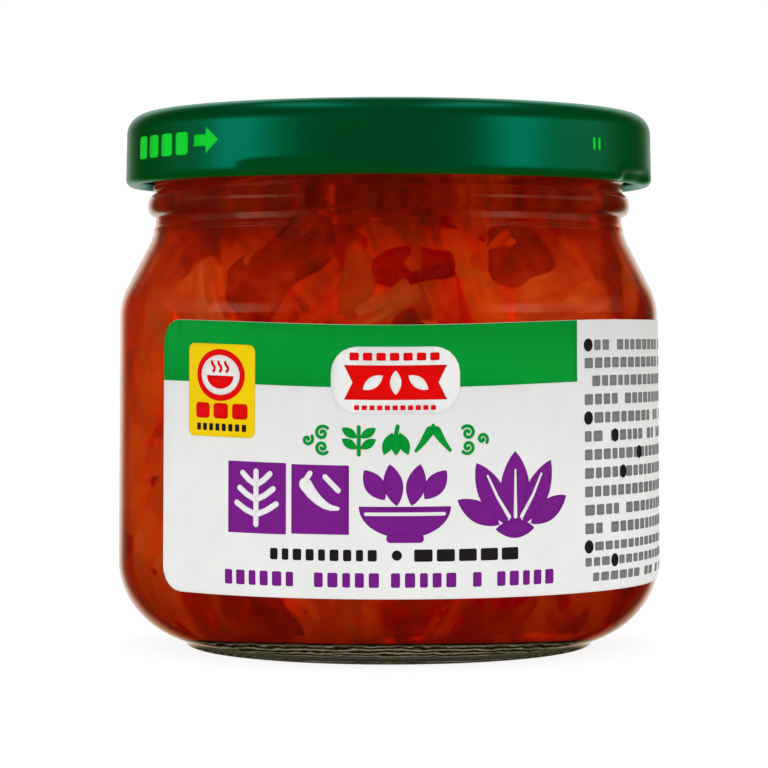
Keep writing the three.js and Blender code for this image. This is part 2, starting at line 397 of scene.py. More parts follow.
def ramp(tree, factor, stops):
    """A colour ramp through stops of place and colour."""
    node = add_node(tree, "ShaderNodeValToRGB", {"Fac": factor})
    elements = node.color_ramp.elements
    while len(elements) < len(stops):
        elements.new(0.5)
    for element, (place, tint) in zip(elements, stops):
        element.position = place
        element.color = (*tint, 1)
    return node.outputs["Color"]


def bump(tree, height, strength, distance):
    """The normal of low relief from a height."""
    inputs = {"Height": height, "Strength": strength, "Distance": distance}
    return add_node(tree, "ShaderNodeBump", inputs).outputs["Normal"]


def absorption(tree, tint, density):
    """The inside of a clear material that takes light away."""
    return add_node(tree, "ShaderNodeVolumeAbsorption", {"Color": tint, "Density": density}).outputs["Volume"]


def shade(tint, share):
    """A colour made lighter or darker."""
    return tuple(min(1.0, channel * share) for channel in tint)


def mottled(tree, vector, scale, detail, tint, darkest, lightest):
    """A colour that varies a little over a surface."""
    cloud = noise_node(tree, vector, scale, detail)
    return ramp(tree, cloud, [(0.3, shade(tint, darkest)), (0.7, shade(tint, lightest))])


# Painted shade: the glass's colour darkens where the wall is seen along its thickness, a dark line just
# inside its bright outline.
EDGE_STOPS = [
    (0.72, (1, 1, 1)),
    (0.745, (0.5, 0.36, 0.28)),
    (0.77, (0.5, 0.36, 0.28)),
    (0.795, (1, 0.95, 0.88)),
]


def clear_glass(name, gloss):
    """Clear flint glass with a faint green body; where it has gloss, a painted dark line runs along its
    edges, and its gloss is tinted warm as a painted colour of the room's light.
    """
    material, tree, shader, output = new_material(name)
    ripple = noise_node(tree, object_coordinates(tree, (1, 1, 0.6)), 70, 1.0)
    inputs = {
        "Specular Tint": (gloss, 0.85 * gloss, 0.62 * gloss, 1),
        "Roughness": 0.0,
        "IOR": 1.5,
        "Transmission Weight": 1.0,
        "Normal": bump(tree, ripple, 0.12, 0.3 * MM),
    }
    if gloss:
        edge = add_node(tree, "ShaderNodeLayerWeight", {"Blend": 0.5}).outputs["Facing"]
        inputs["Base Color"] = ramp(tree, edge, EDGE_STOPS)
    fill(tree, shader, inputs)
    fill(tree, output, {"Volume": absorption(tree, (0.62, 0.86, 0.78, 1), 14.0)})
    return material


def murky_sauce(tint):
    """Cloudy chilli sauce, red where it is deep and hazy orange at its skin."""
    material, tree, shader, output = new_material("murky_sauce")
    cloud = noise_node(tree, object_coordinates(tree, (1, 1, 1.4)), 75, 5.0, 0.6, 1.2)
    dim = (0.5 * tint[0], 1.1 * tint[1], 2.4 * tint[2])
    stops = [(0.32, dim), (0.46, shade(tint, 0.85)), (0.58, shade(tint, 1.15)), (0.74, shade(tint, 1.9))]
    inputs = {
        "Base Color": ramp(tree, cloud, stops),
        "Roughness": 0.36,
        "IOR": 1.36,
        "Specular Tint": (0, 0, 0, 1),
        "Transmission Weight": 1.0,
    }
    fill(tree, shader, inputs)
    fill(tree, output, {"Volume": absorption(tree, (0.97, 0.45, 0.24, 1), 76.0)})
    return material


# Colours of the painted reflection that the foot shows, from dark to light.
MIRROR_STOPS = [
    (0.1, srgb(50, 34, 26)),
    (0.45, srgb(112, 98, 74)),
    (0.8, srgb(160, 148, 114)),
    (0.97, srgb(228, 226, 198)),
]


def mirrored_base():
    """A painted reflection on the sauce's lowest faces: what the floor mirrors through the heel, the dark
    underside and its rings under a dark line, with a faint painted glow.
    """
    material, tree, shader, _ = new_material("mirrored_base")
    vector = object_coordinates(tree)
    inputs = {"Vector": vector, "Scale": 300, "Distortion": 5.0, "Detail": 4.0, "Detail Scale": 1.6}
    rings = add_node(tree, "ShaderNodeTexWave", inputs)
    rings.wave_type = "RINGS"
    rings.rings_direction = "Z"
    height = add_node(tree, "ShaderNodeSeparateXYZ", {"Vector": vector}).outputs["Z"]
    limits = {"From Min": MIRRORED_BELOW - 0.35 * MM, "From Max": MIRRORED_BELOW - 0.1 * MM, "To Max": -0.8}
    dark_line = add_node(tree, "ShaderNodeMapRange", {"Value": height, **limits}).outputs["Result"]
    streaks = add_node(tree, "ShaderNodeMath", {0: rings.outputs["Fac"], 1: dark_line}).outputs[0]
    glint = ramp(tree, streaks, MIRROR_STOPS)
    fill(tree, shader, {"Base Color": glint, "Specular IOR Level": 0.0})
    fill(tree, shader, {"Emission Color": glint, "Emission Strength": 0.12})
    return material


def green_lacquer(tint):
    """Green lacquer over tinplate, with a teal gloss."""
    material, tree, shader, _ = new_material("green_lacquer")
    vector = object_coordinates(tree)
    inputs = {
        "Base Color": mottled(tree, vector, 60, 2.0, tint, 0.92, 1.08),
        "Roughness": 0.28,
        "IOR": 3.0,
        "Specular Tint": (0.0, 1.0, 0.84, 1),
        "Normal": bump(tree, noise_node(tree, vector, 900, 2.0), 0.05, 0.05 * MM),
    }
    fill(tree, shader, inputs)
    return material


def printed(name, tint, roughness=0.38):
    """Ink or paper: an even colour with a faint mottle and the tooth of the paper under it."""
    material, tree, shader, _ = new_material(name)
    vector = object_coordinates(tree)
    inputs = {
        "Base Color": mottled(tree, vector, 260, 3.0, tint, 0.975, 1.02),
        "Roughness": roughness,
        "Specular IOR Level": 0.04,
        "Normal": bump(tree, noise_node(tree, vector, 2600, 2.0), 0.08, 0.02 * MM),
    }
    fill(tree, shader, inputs)
    return material


# Painted light: the pieces glow by themselves, as a share of their own colour, in place of the light that the
# sauce scatters onto them.
PAINTED_SAUCE_GLOW = 0.41


def vegetable(name, stops, fibre):
    """The wet flesh of a cut vegetable: its tone differs from piece to piece and its fibres run along it. It
    glows faintly in its own colour, painted light for what the sauce scatters, and its tone carries painted
    shade near the lid and the floor.
    """
    material, tree, shader, _ = new_material(name)
    lay = {"Vector": attribute(tree, "lay").outputs["Vector"], "Scale": fibre}
    stretched = add_node(tree, "ShaderNodeMapping", lay).outputs["Vector"]
    strands = noise_node(tree, stretched, 1.0, 3.0, 0.6)
    blotch = noise_node(tree, object_coordinates(tree), 150, 2.0)
    toned = multiplied(tree, strands, 1.5, attribute(tree, "tone").outputs["Fac"])
    mixed = multiplied(tree, blotch, 0.8, toned)
    part = add_node(tree, "ShaderNodeMapRange", {"Value": mixed, "From Min": 0.85, "From Max": 2.2})
    flesh = ramp(tree, part.outputs["Result"], stops)
    inputs = {
        "Base Color": flesh,
        # Painted glow: the flesh shines by itself in its own colour.
        "Emission Color": flesh,
        "Emission Strength": PAINTED_SAUCE_GLOW,
        "Roughness": 0.35,
        "Normal": bump(tree, strands, 0.5, 0.3 * MM),
    }
    fill(tree, shader, inputs)
    return material


def thread_lift(angle, height):
    """How far the threads lift the finish wall at an angle in degrees and a height."""
    lift = 0.0
    for i in range(THREADS):
        along = (angle - THREAD_START - i * 360 / THREADS) % 360 / THREAD_SWEEP
        if along > 1:
            continue
        middle = THREAD_LOW + THREAD_RISE * along
        fade = smooth(min(along, 1 - along) / THREAD_FADE)
        lift = max(lift, THREAD_HEIGHT * fade * smooth(1.25 - abs(height - middle) / THREAD_HALF))
    return lift


def lug_share(angle):
    """How far a lug pushes in the lid's lower skirt, from 0 to 1, at an angle in degrees."""
    local = (angle - LUG_START) % (360 / LUGS)
    return smooth(local / LUG_RISE) * smooth((LUG_SWEEP - local) / LUG_FALL)


def radius_of(point):
    """The distance from the jar's axis."""
    return math.hypot(point.x, point.y)


def angle_of(point):
    """The angle round the jar in degrees, from the front towards the right."""
    return math.degrees(math.atan2(point.x, -point.y))


def push_out(vert, distance):
    """Moves a point away from the jar's axis."""
    radius = radius_of(vert.co)
    share = (radius + distance) / radius
    vert.co.x *= share
    vert.co.y *= share


def wrap(bm, surface, nominal, bow=False):
    """Carries a flat drawing of across, up and out round a surface that gives a radius for a height."""
    for vert in bm.verts:
        across, up, out = vert.co
        angle = across / nominal
        if bow:
            share = min(1.0, max(0.0, (up - LABEL_BOTTOM) / (BOW_FULL - LABEL_BOTTOM)))
            up += LABEL_BOW * smooth(abs(math.degrees(angle)) / LABEL_BOW_ANGLE) * share
        radius = surface(up) + out
        vert.co = (radius * math.sin(angle), -radius * math.cos(angle), up)


def cut_sheet(bm, place, direction):
    """Cuts a flat sheet along a straight line."""
    geometry = bm.verts[:] + bm.edges[:] + bm.faces[:]
    bmesh.ops.bisect_plane(bm, geom=geometry, dist=CUT_DISTANCE, plane_co=place, plane_no=direction)


def slice_sheet(bm, step):
    """Cuts a flat sheet into upright slices, so that it bends smoothly."""
    low = min(vert.co.x for vert in bm.verts)
    high = max(vert.co.x for vert in bm.verts)
    for i in range(math.ceil(low / step), math.floor(high / step) + 1):
        cut_sheet(bm, (i * step, 0, 0), (1, 0, 0))


def slice_heel(bm):
    """Cuts a flat sheet level by level where the heel curves."""
    for i in range(HEEL_SLICES + 1):
        level = LABEL_BOTTOM + (HEEL_SLICES_TOP - LABEL_BOTTOM) * i / HEEL_SLICES
        cut_sheet(bm, (0, level, 0), (0, 1, 0))


def lift_copy(bm, thickness):
    """Extrudes all faces upwards."""
    made = bmesh.ops.extrude_face_region(bm, geom=bm.faces[:])
    lifted = [item for item in made["geom"] if isinstance(item, bmesh.types.BMVert)]
    bmesh.ops.translate(bm, verts=lifted, vec=(0, 0, thickness))


def raise_sheet(bm, low, thickness):
    """Gives a flat sheet its thickness, from a level outwards."""
    bmesh.ops.translate(bm, verts=bm.verts, vec=(0, 0, low))
    lift_copy(bm, thickness)
    bmesh.ops.recalc_face_normals(bm, faces=bm.faces)


# Flat drawings are in millimetres: across from the middle of the front, and up from the table. These
# are the steps of their curves, the fullness of a leaf and the share at which a spiral starts.
BOX_STEPS = 5
LEAF_STEPS = 14
LEAF_FULLNESS = 0.8
CAP_STEPS = 6
SPIRAL_STEPS = 20
SPIRAL_HEART = 0.16


def flat_vert(bm, place):
    """A point of a flat drawing."""
    return bm.verts.new((place[0] * MM, place[1] * MM, 0))


def add_outline(bm, outline):
    """Adds one flat face with the given outline."""
    face = bm.faces.new([flat_vert(bm, place) for place in outline])
    face.normal_update()
    if face.normal.z < 0:
        face.normal_flip()


def add_box(bm, left, right, low, high, radius):
    """Adds a box with round corners."""
    corners = [
        ((right - radius, low + radius), -90),
        ((right - radius, high - radius), 0),
        ((left + radius, high - radius), 90),
        ((left + radius, low + radius), 180),
    ]
    outline = []
    for centre, start in corners:
        outline += arc(centre, (radius, radius), start, start + 90, BOX_STEPS)
    add_outline(bm, outline)


def add_row(bm, left, low, high, width, step, boxes, radius):
    """Adds a row of equal boxes, each a step further right."""
    for i in range(boxes):
        start = left + step * i
        add_box(bm, start, start + width, low, high, radius)


def add_run(bm, left, right, low, high, widths, gap):
    """Fills a stretch with bars of repeating widths."""
    place = left
    i = 0
    while place + widths[i % len(widths)] <= right + 0.01:
        width = widths[i % len(widths)]
        add_box(bm, place, place + width, low, high, 0.22)
        place += width + gap
        i += 1


def add_disc(bm, centre, radius, steps):
    """Adds a round face."""
    add_outline(bm, arc(centre, (radius, radius), 0, 360 - 360 / steps, steps - 1))


def add_leaf(bm, centre, length, width, turn):
    """Adds a pointed oval, turned in degrees."""
    cos, sin = math.cos(math.radians(turn)), math.sin(math.radians(turn))
    outline = []
    for side in (1, -1):
        for i in range(LEAF_STEPS):
            along = i / LEAF_STEPS if side > 0 else 1 - i / LEAF_STEPS
            x = length * (along - 0.5)
            y = width / 2 * math.sin(math.pi * along) ** LEAF_FULLNESS * side
            outline.append((centre[0] + x * cos - y * sin, centre[1] + x * sin + y * cos))
    add_outline(bm, outline)


def add_stroke(bm, points, width, taper=1.0):
    """Adds a brush stroke along points, with round ends. Its end is narrower where taper is under 1."""
    last = len(points) - 1
    left, right = [], []
    for i, (x, y) in enumerate(points):
        before = points[max(0, i - 1)]
        after = points[min(last, i + 1)]
        direction = Vector((after[0] - before[0], after[1] - before[1])).normalized()
        half = width / 2 * (1 + (taper - 1) * i / last)
        left.append((x - direction.y * half, y + direction.x * half))
        right.append((x + direction.y * half, y - direction.x * half))
    left_verts = [flat_vert(bm, place) for place in left]
    right_verts = [flat_vert(bm, place) for place in right]
    for i in range(last):
        bm.faces.new((left_verts[i], right_verts[i], right_verts[i + 1], left_verts[i + 1]))
    ends = [
        (left_verts[0], right_verts[0], points[0], width / 2, left[0]),
        (right_verts[-1], left_verts[-1], points[-1], width / 2 * taper, right[-1]),
    ]
    for first, end, centre, half, place in ends:
        start = math.degrees(math.atan2(place[1] - centre[1], place[0] - centre[0]))
        cap = arc(centre, (half, half), start, start + 180, CAP_STEPS)[1:-1]
        bm.faces.new([first] + [flat_vert(bm, point) for point in cap] + [end])


def spiral(centre, size, turns, start, hand):
    """Points of a spiral that opens out from its centre."""
    points = []
    steps = int(SPIRAL_STEPS * turns)
    for i in range(steps + 1):
        share = i / steps
        angle = math.radians(start) + hand * math.tau * turns * share
        radius = size * (SPIRAL_HEART + (1 - SPIRAL_HEART) * share)
        points.append((centre[0] + radius * math.cos(angle), centre[1] + radius * math.sin(angle)))
    return points


def ink(name, draw, material, layer, step=WRAP_STEP):
    """A thin layer of ink on the label, drawn flat by a function and wrapped round the jar."""
    sizes = bpy.context.scene.kimchi_jar_sizes
    bm = bmesh.new()
    draw(bm)
    for i, face in enumerate(bm.faces):
        for vert in face.verts:
            vert.co.z = OVERLAP_LIFT * (i % LIFTS)
    bmesh.ops.triangulate(bm, faces=bm.faces)
    slice_sheet(bm, step)
    slice_heel(bm)
    raise_sheet(bm, sizes.paper, sizes.ink * layer)
    wrap(bm, body_radius_at, LABEL_RADIUS, bow=True)
    piece(name, bm, material)


class JarStep:
    """What all steps of the jar share."""

    bl_options = {"REGISTER", "UNDO"}


class KIMCHIJAR_OT_camera(JarStep, bpy.types.Operator):
    """Place the camera level with the label, a little above the foot"""

    bl_idname = "kimchi_jar.camera"
    bl_label = "Place Camera"

    def execute(self, context):
        camera = bpy.data.objects.new("camera", bpy.data.cameras.new("camera"))
        camera.data.lens = CAMERA_LENS
        camera.location = (0, -CAMERA_DISTANCE, CAMERA_HEIGHT)
        camera.rotation_euler = (math.radians(90 + CAMERA_PITCH), 0, math.radians(CAMERA_YAW))
        context.scene.collection.objects.link(camera)
        context.scene.camera = camera
        return {"FINISHED"}


# Soft light cards that only shine as reflections. Each has its radiance, the heights in millimetres
# between which it fades in and out, and its brightness at some azimuths in degrees. Azimuths run from
# the front towards the right.
CARDS = {
    "card_left": (
        1.02,
        (88, 102, 180, 280),
        ((-115, 0), (-100, 0.22), (-81, 0.25), (-76, 1), (-60, 1), (-49, 0.5), (-34, 0)),
    ),
    "card_right": (
        1.02,
        (88, 102, 180, 280),
        ((32, 0), (43, 0.4), (50, 0.95), (60, 1), (69, 0.45), (100, 0.4), (120, 0)),
    ),
    "card_top": (
        0.7,
        (1050, 1250, 2200, 2600),
        ((-150, 0), (-110, 1), (-50, 1), (-22, 0), (22, 0), (50, 1), (110, 1), (150, 0)),
    ),
    "backdrop": (
        1.0,
        (-310, -60, 700, 800),
        ((138, 0), (148, 0.14), (153, 0.6), (157, 1), (203, 1), (207, 0.6), (212, 0.14), (222, 0)),
    ),
}
CARD_DISTANCE = 600 * MM
CARD_GRID = (60, 30)
CARD_TINTS = [(0.0, (0, 0, 0)), (0.5, (0.56, 0.4, 0.24)), (1.0, (1, 0.93, 0.84))]
WORLD_FILL = 1.0
LIGHT_BOUNCES = 40
FLOOR_HALF = 1.5
FLOOR_COLOUR = 0.2
FLOOR_GLOW = 0.88
# The dark sheet of painted shade under the jar: its size, level and grey.
MAT_RADIUS = 160 * MM
MAT_LEVEL = -0.2 * MM
MAT_COLOUR = 0.02


def hide_from(obj, *rays):
    """Hides an object from some kinds of rays."""
    for ray in rays:
        setattr(obj, f"visible_{ray}", False)


class KIMCHIJAR_OT_stage(JarStep, bpy.types.Operator):
    """Build the pale floor, the white backdrop and the lights"""

    bl_idname = "kimchi_jar.stage"
    bl_label = "Build Stage"

    def execute(self, context):
        self.world(context)
        self.floor()
        self.painted_shade_sheet()
        for name, (radiance, heights, levels) in CARDS.items():
            self.light_card(name, radiance, heights, levels)
        context.scene.view_settings.view_transform = "Standard"
        self.bounces(context.scene.cycles)
        return {"FINISHED"}

    def bounces(self, cycles):
        """Lets light find its way through glass and sauce to the kimchi and out again."""
        for kind in ("max", "diffuse", "glossy", "transmission"):
            setattr(cycles, f"{kind}_bounces", LIGHT_BOUNCES)

    def world(self, context):
        """Even white light from all round that no gloss shows."""
        world = bpy.data.worlds.new("white_room")
        world.use_nodes = True
        tree = world.node_tree
        fill(tree, tree.nodes["Background"], {"Color": (1, 1, 1, 1), "Strength": WORLD_FILL})
        context.scene.world = world
        world.cycles_visibility.glossy = False

    def stage_piece(self, name, bm, level, emission):
        """A matt grey piece of the stage that may shine by itself."""
        material, tree, shader, _ = new_material(name)
        inputs = {
            "Base Color": (level, level, level, 1),
            "Specular IOR Level": 0.0,
            "Emission Color": (1, 1, 1, 1),
            "Emission Strength": emission,
        }
        fill(tree, shader, inputs)
        obj = new_object(name, bm, material)
        return obj

    def floor(self):
        """A shining floor that neither gloss nor glass shows."""
        bm = bmesh.new()
        bmesh.ops.create_grid(bm, x_segments=1, y_segments=1, size=FLOOR_HALF)
        hide_from(self.stage_piece("floor", bm, FLOOR_COLOUR, FLOOR_GLOW), "glossy", "transmission")

    def painted_shade_sheet(self):
        """Painted shade under the jar: a dark sheet that only the thick glass of the foot bends into view."""
        bm = bmesh.new()
        bmesh.ops.create_circle(bm, cap_ends=True, segments=64, radius=MAT_RADIUS)
        bmesh.ops.translate(bm, verts=bm.verts, vec=(0, 0, MAT_LEVEL))
        hide_from(self.stage_piece("painted_shade_sheet", bm, MAT_COLOUR, 0.0), "camera", "diffuse", "glossy")

    def light_card(self, name, radiance, heights, levels):
        """A curved card whose light fades towards its edges."""
        bm = bmesh.new()
        bmesh.ops.create_grid(bm, x_segments=CARD_GRID[0], y_segments=CARD_GRID[1], size=0.5)
        fade = bm.verts.layers.float.new("fade")
        fades = ((heights[0], 0), (heights[1], 1), (heights[2], 1), (heights[3], 0))
        for vert in bm.verts:
            azimuth = levels[0][0] + (levels[-1][0] - levels[0][0]) * (vert.co.x + 0.5)
            height = heights[0] + (heights[3] - heights[0]) * (vert.co.y + 0.5)
            vert[fade] = between(levels, azimuth) * smooth(between(fades, height))
            angle = math.radians(azimuth)
            vert.co = (CARD_DISTANCE * math.sin(angle), -CARD_DISTANCE * math.cos(angle), height * MM)
        card = self.stage_piece(name, bm, 0.0, radiance)
        tree = card.data.materials[0].node_tree
        glow = ramp(tree, attribute(tree, "fade").outputs["Fac"], CARD_TINTS)
        fill(tree, tree.nodes["Principled BSDF"], {"Emission Color": glow})
        hide_from(card, "camera", "diffuse", "transmission", "shadow")


class KIMCHIJAR_OT_glass(JarStep, bpy.types.Operator):
    """Blow the glass jar with its foot, shoulder, neck ring and threads"""

    bl_idname = "kimchi_jar.glass"
    bl_label = "Make Glass"

    def execute(self, context):
        bm = spun(self.profile(), 192)
        for vert in bm.verts:
            radius = radius_of(vert.co)
            if radius > FINISH_RADIUS - SURFACE_SLACK and vert.co.z > BEAD_HEIGHT:
                push_out(vert, thread_lift(angle_of(vert.co), vert.co.z))
            elif radius > NECK_RADIUS - SURFACE_SLACK:
                push_out(vert, RIDGE_LIFT * smooth(1 - abs(vert.co.z - RIDGE_HEIGHT) / RIDGE_HALF))
        glass = piece("glass", bm, clear_glass("clear_glass", 1.0), "glass_jar")
        glass.data.materials.append(clear_glass("wetted_glass", 0.0))
        for face in glass.data.polygons:
            face.material_index = int(self.is_wetted(face.center))
        return {"FINISHED"}

    def is_wetted(self, point):
        """Tells the inner wall, which the sauce wets, from the outer one."""
        radius = radius_of(point)
        if point.z > SHOULDER_START:
            return radius < radius_at(side_profile(WALL / 2), point.z)
        return FLOOR_HEIGHT < point.z and radius < body_radius_at(point.z) - WALL / 2

    def profile(self):
        """The glass from the middle of the foot up outside, over the rim and down inside."""
        foot_edge = (FOOT_INNER_RADIUS - FOOT_INNER_BEND[0], 0)
        foot = [(0, PUSH_UP)] + line((0, PUSH_UP), (foot_edge[0], FOOT_INNER_BEND[1]), 6)
        foot += arc(foot_edge, FOOT_INNER_BEND, 90, 8, 8)[1:]
        ring = [(FOOT_FLAT_FROM, 0), (FOOT_FLAT_TO, 0)]
        ring += arc((FOOT_FLAT_TO, FOOT_OUTER_BEND[1]), FOOT_OUTER_BEND, -80, -10, 5)
        heel = arc(HEEL_CENTRE, HEEL_RADII, HEEL_FROM, 0, 26)
        side = side_profile(0)
        bead = arc((NECK_RADIUS, BEAD_HEIGHT), (BEAD_RADIUS - NECK_RADIUS, BEAD_LOWER), -90, 0, 8)
        top = arc((FINISH_RADIUS, BEAD_HEIGHT), (BEAD_RADIUS - FINISH_RADIUS, BEAD_UPPER), 8, 90, 8)
        rim_z = MOUTH_HEIGHT - RIM_ROUNDING
        finish = line(top[-1], (FINISH_RADIUS, rim_z), 44)
        rim = arc((FINISH_RADIUS - RIM_ROUNDING, rim_z), (RIM_ROUNDING, RIM_ROUNDING), 10, 90, 6)
        lip = arc((NECK_RADIUS - WALL + RIM_ROUNDING, rim_z), (RIM_ROUNDING, RIM_ROUNDING), 90, 180, 6)
        hollow = hollow_profile(0, rim_z - RIM_ROUNDING)
        outside = foot + ring + heel + line(heel[-1], side[0], 12) + side[1:] + bead[1:] + top + finish
        return outside + rim + lip + hollow[::-1]


class KIMCHIJAR_OT_lid(JarStep, bpy.types.Operator):
    """Press the lid with its rolled rim, lugs and safety button"""

    bl_idname = "kimchi_jar.lid"
    bl_label = "Make Lid"

    def execute(self, context):
        bm = spun(self.profile(), 240)
        for vert in bm.verts:
            radius = radius_of(vert.co)
            if radius < LID_TOP_RADIUS - LID_CORNER:
                continue
            outwards = smooth((radius - LID_RADIUS + 2 * CURL_RADIUS) / (2 * CURL_RADIUS))
            share = LUG_INNER_SHARE + (1 - LUG_INNER_SHARE) * outwards
            height = 1 - smooth((vert.co.z - CURL_HEIGHT) / LUG_REACH)
            push_out(vert, -LUG_DEPTH * lug_share(angle_of(vert.co)) * share * height)
        lacquer = green_lacquer(context.scene.kimchi_jar_colours.lid)
        piece("lid_shell", bm, lacquer, "lid")
        return {"FINISHED"}

    def profile(self):
        """The sheet from the middle of the panel down inside, round the rim and back up outside."""
        corner = (LID_TOP_RADIUS - LID_CORNER, LID_TOP - LID_CORNER)
        inner_size = LID_CORNER - LID_SHEET
        inner = arc(corner, (inner_size, inner_size), 90, 0, 8)
        inner += line(inner[-1], (LID_RADIUS - LID_SHEET, CURL_HEIGHT + CURL_CLEARANCE), 8)
        curl = arc((LID_RADIUS - CURL_RADIUS, CURL_HEIGHT), (CURL_RADIUS, CURL_RADIUS), CURL_FROM, 360, 20)
        skirt = line(curl[-1], (LID_TOP_RADIUS, corner[1]), 16)
        outer = arc(corner, (LID_CORNER, LID_CORNER), 0, 90, 12)
        under = self.panel(LID_TOP - LID_SHEET)
        return under + inner + curl + skirt + outer[1:] + self.panel(LID_TOP)[::-1]

    def panel(self, level):
        """The sunk panel with its button, from the middle out to a level."""
        low = level - PANEL_DEPTH
        button = low - BUTTON_DEPTH
        points = [(0, button), (BUTTON_RADIUS / 2, button), (BUTTON_RADIUS, button)]
        points += self.rise((BUTTON_RADIUS, button), BUTTON_SLOPE, BUTTON_DEPTH, 5)
        points += line(points[-1], (PANEL_RADIUS, low), 4)
        return points + self.rise((PANEL_RADIUS, low), PANEL_SLOPE, PANEL_DEPTH, 6)

    def rise(self, start, width, height, steps):
        """Points of a soft step upwards, without the first."""
        shares = [i / steps for i in range(1, steps + 1)]
        return [(start[0] + width * share, start[1] + height * smooth(share)) for share in shares]


LID_MARK_MIDDLE = 68.15
LID_MARK_INK = 0.03 * MM
LID_MARK_GAP = 0.01 * MM
ARROW_TAIL = (-28.2, LID_MARK_MIDDLE + 0.25)
ARROW_SHAFT = 2.2
ARROW_LENGTH = 4.4
ARROW_HALF_SHAFT = 0.75
ARROW_HALF_HEAD = 1.75


class KIMCHIJAR_OT_lid_marks(JarStep, bpy.types.Operator):
    """Print the turning arrow and its tail of blocks on the lid's skirt"""

    bl_idname = "kimchi_jar.lid_marks"
    bl_label = "Print Lid Marks"

    def execute(self, context):
        colours = context.scene.kimchi_jar_colours
        bm = bmesh.new()
        middle = LID_MARK_MIDDLE
        add_row(bm, -42.4, middle - 1.5, middle + 1.5, 2.6, 3.45, 4, 0.5)
        self.arrow(bm)
        add_row(bm, 30.2, middle - 0.8, middle + 0.8, 0.5, 1.1, 2, 0.15)
        bmesh.ops.triangulate(bm, faces=bm.faces)
        slice_sheet(bm, WRAP_STEP)
        raise_sheet(bm, 0, LID_MARK_INK)
        wrap(bm, self.skirt_radius, LID_RADIUS)
        piece("lid_marks", bm, printed("lime_ink", colours.lid_mark, 0.3))
        return {"FINISHED"}

    def skirt_radius(self, height):
        """A radius just outside the skirt at a height."""
        share = (height - LID_BOTTOM) / (LID_TOP - LID_CORNER - LID_BOTTOM)
        return LID_RADIUS + (LID_TOP_RADIUS - LID_RADIUS) * share + LID_MARK_GAP

    def arrow(self, bm):
        x, y = ARROW_TAIL
        head = x + ARROW_SHAFT
        lower = [(x, y - ARROW_HALF_SHAFT), (head, y - ARROW_HALF_SHAFT), (head, y - ARROW_HALF_HEAD)]
        upper = [(head, y + ARROW_HALF_HEAD), (head, y + ARROW_HALF_SHAFT), (x, y + ARROW_HALF_SHAFT)]
        add_outline(bm, lower + [(x + ARROW_LENGTH, y)] + upper)


class KIMCHIJAR_OT_label(JarStep, bpy.types.Operator):
    """Wrap the white paper label round the glass"""

    bl_idname = "kimchi_jar.label"
    bl_label = "Wrap Label"

    def execute(self, context):
        left = math.radians(LABEL_FROM) * LABEL_RADIUS
        right = math.radians(LABEL_TO) * LABEL_RADIUS
        bm = bmesh.new()
        add_box(bm, left / MM, right / MM, LABEL_BOTTOM / MM, LABEL_TOP / MM, LABEL_CORNER / MM)
        slice_sheet(bm, FINE_STEP)
        slice_heel(bm)
        raise_sheet(bm, GLUE, context.scene.kimchi_jar_sizes.paper - GLUE)
        wrap(bm, body_radius_at, LABEL_RADIUS, bow=True)
        paper = printed("label_paper", context.scene.kimchi_jar_colours.paper, 0.42)
        piece("label_sheet", bm, paper, "label")
        return {"FINISHED"}


# Places on the label, in millimetres. Boxes are left, right, low and high.
INK_MARGIN = 0.03
BAND_RIGHT = 26.8
BADGE_BOX = (-28.8, -17.85, 29.45, 41.3)
BADGE_CENTRE = (-23.3, 37.3)
PLAQUE_BOX = (-7.4, 9.2, 33.0, 41.5)
PLAQUE_MIDDLE = 0.9
BANNER_HALF = 6.6
BANNER_LOW = 34.75
BANNER_HIGH = 39.15
BANNER_NOTCH = 1.1
BANNER_LEAF_LEVEL = 36.95
TITLE_LEVEL = 29.6
SQUARES = ((-21.9, -13.4, 17.45, 26.5), (-12.65, -5.05, 17.6, 26.4))
FERN_CENTRE = (-17.65, 22.0)
RADISH_CENTRE = (-8.85, 22.0)
BOWL_CENTRE = (2.1, 21.6)
CABBAGE_CENTRE = (16.8, 22.2)


class KIMCHIJAR_OT_fields(JarStep, bpy.types.Operator):
    """Print the green band and the yellow badge"""

    bl_idname = "kimchi_jar.fields"
    bl_label = "Print Fields"

    def execute(self, context):
        colours = context.scene.kimchi_jar_colours
        ink("print_green_band", self.band, printed("green_ink", colours.green), 1)
        ink("print_badge", self.badge, printed("yellow_ink", colours.yellow), 2)
        return {"FINISHED"}

    def band(self, bm):
        low = bpy.context.scene.kimchi_jar_sizes.band / MM
        left = math.radians(LABEL_FROM) * LABEL_RADIUS / MM + INK_MARGIN
        top = LABEL_TOP / MM - INK_MARGIN
        radius = LABEL_CORNER / MM
        corner = arc((left + radius, top - radius), (radius, radius), 90, 180, 8)
        add_outline(bm, [(left, low), (BAND_RIGHT, low), (BAND_RIGHT, top)] + corner)

    def badge(self, bm):
        add_box(bm, *BADGE_BOX, 0.9)


class KIMCHIJAR_OT_whites(JarStep, bpy.types.Operator):
    """Print the white plaque on the band and the white disc on the badge"""

    bl_idname = "kimchi_jar.whites"
    bl_label = "Print Whites"

    def execute(self, context):
        ink("print_white", self.draw, printed("white_ink", context.scene.kimchi_jar_colours.paper), 3)
        return {"FINISHED"}

    def draw(self, bm):
        add_box(bm, *PLAQUE_BOX, 3.4)
        add_outline(bm, arc(BADGE_CENTRE, (3.5, 2.9), 0, 350, 35))


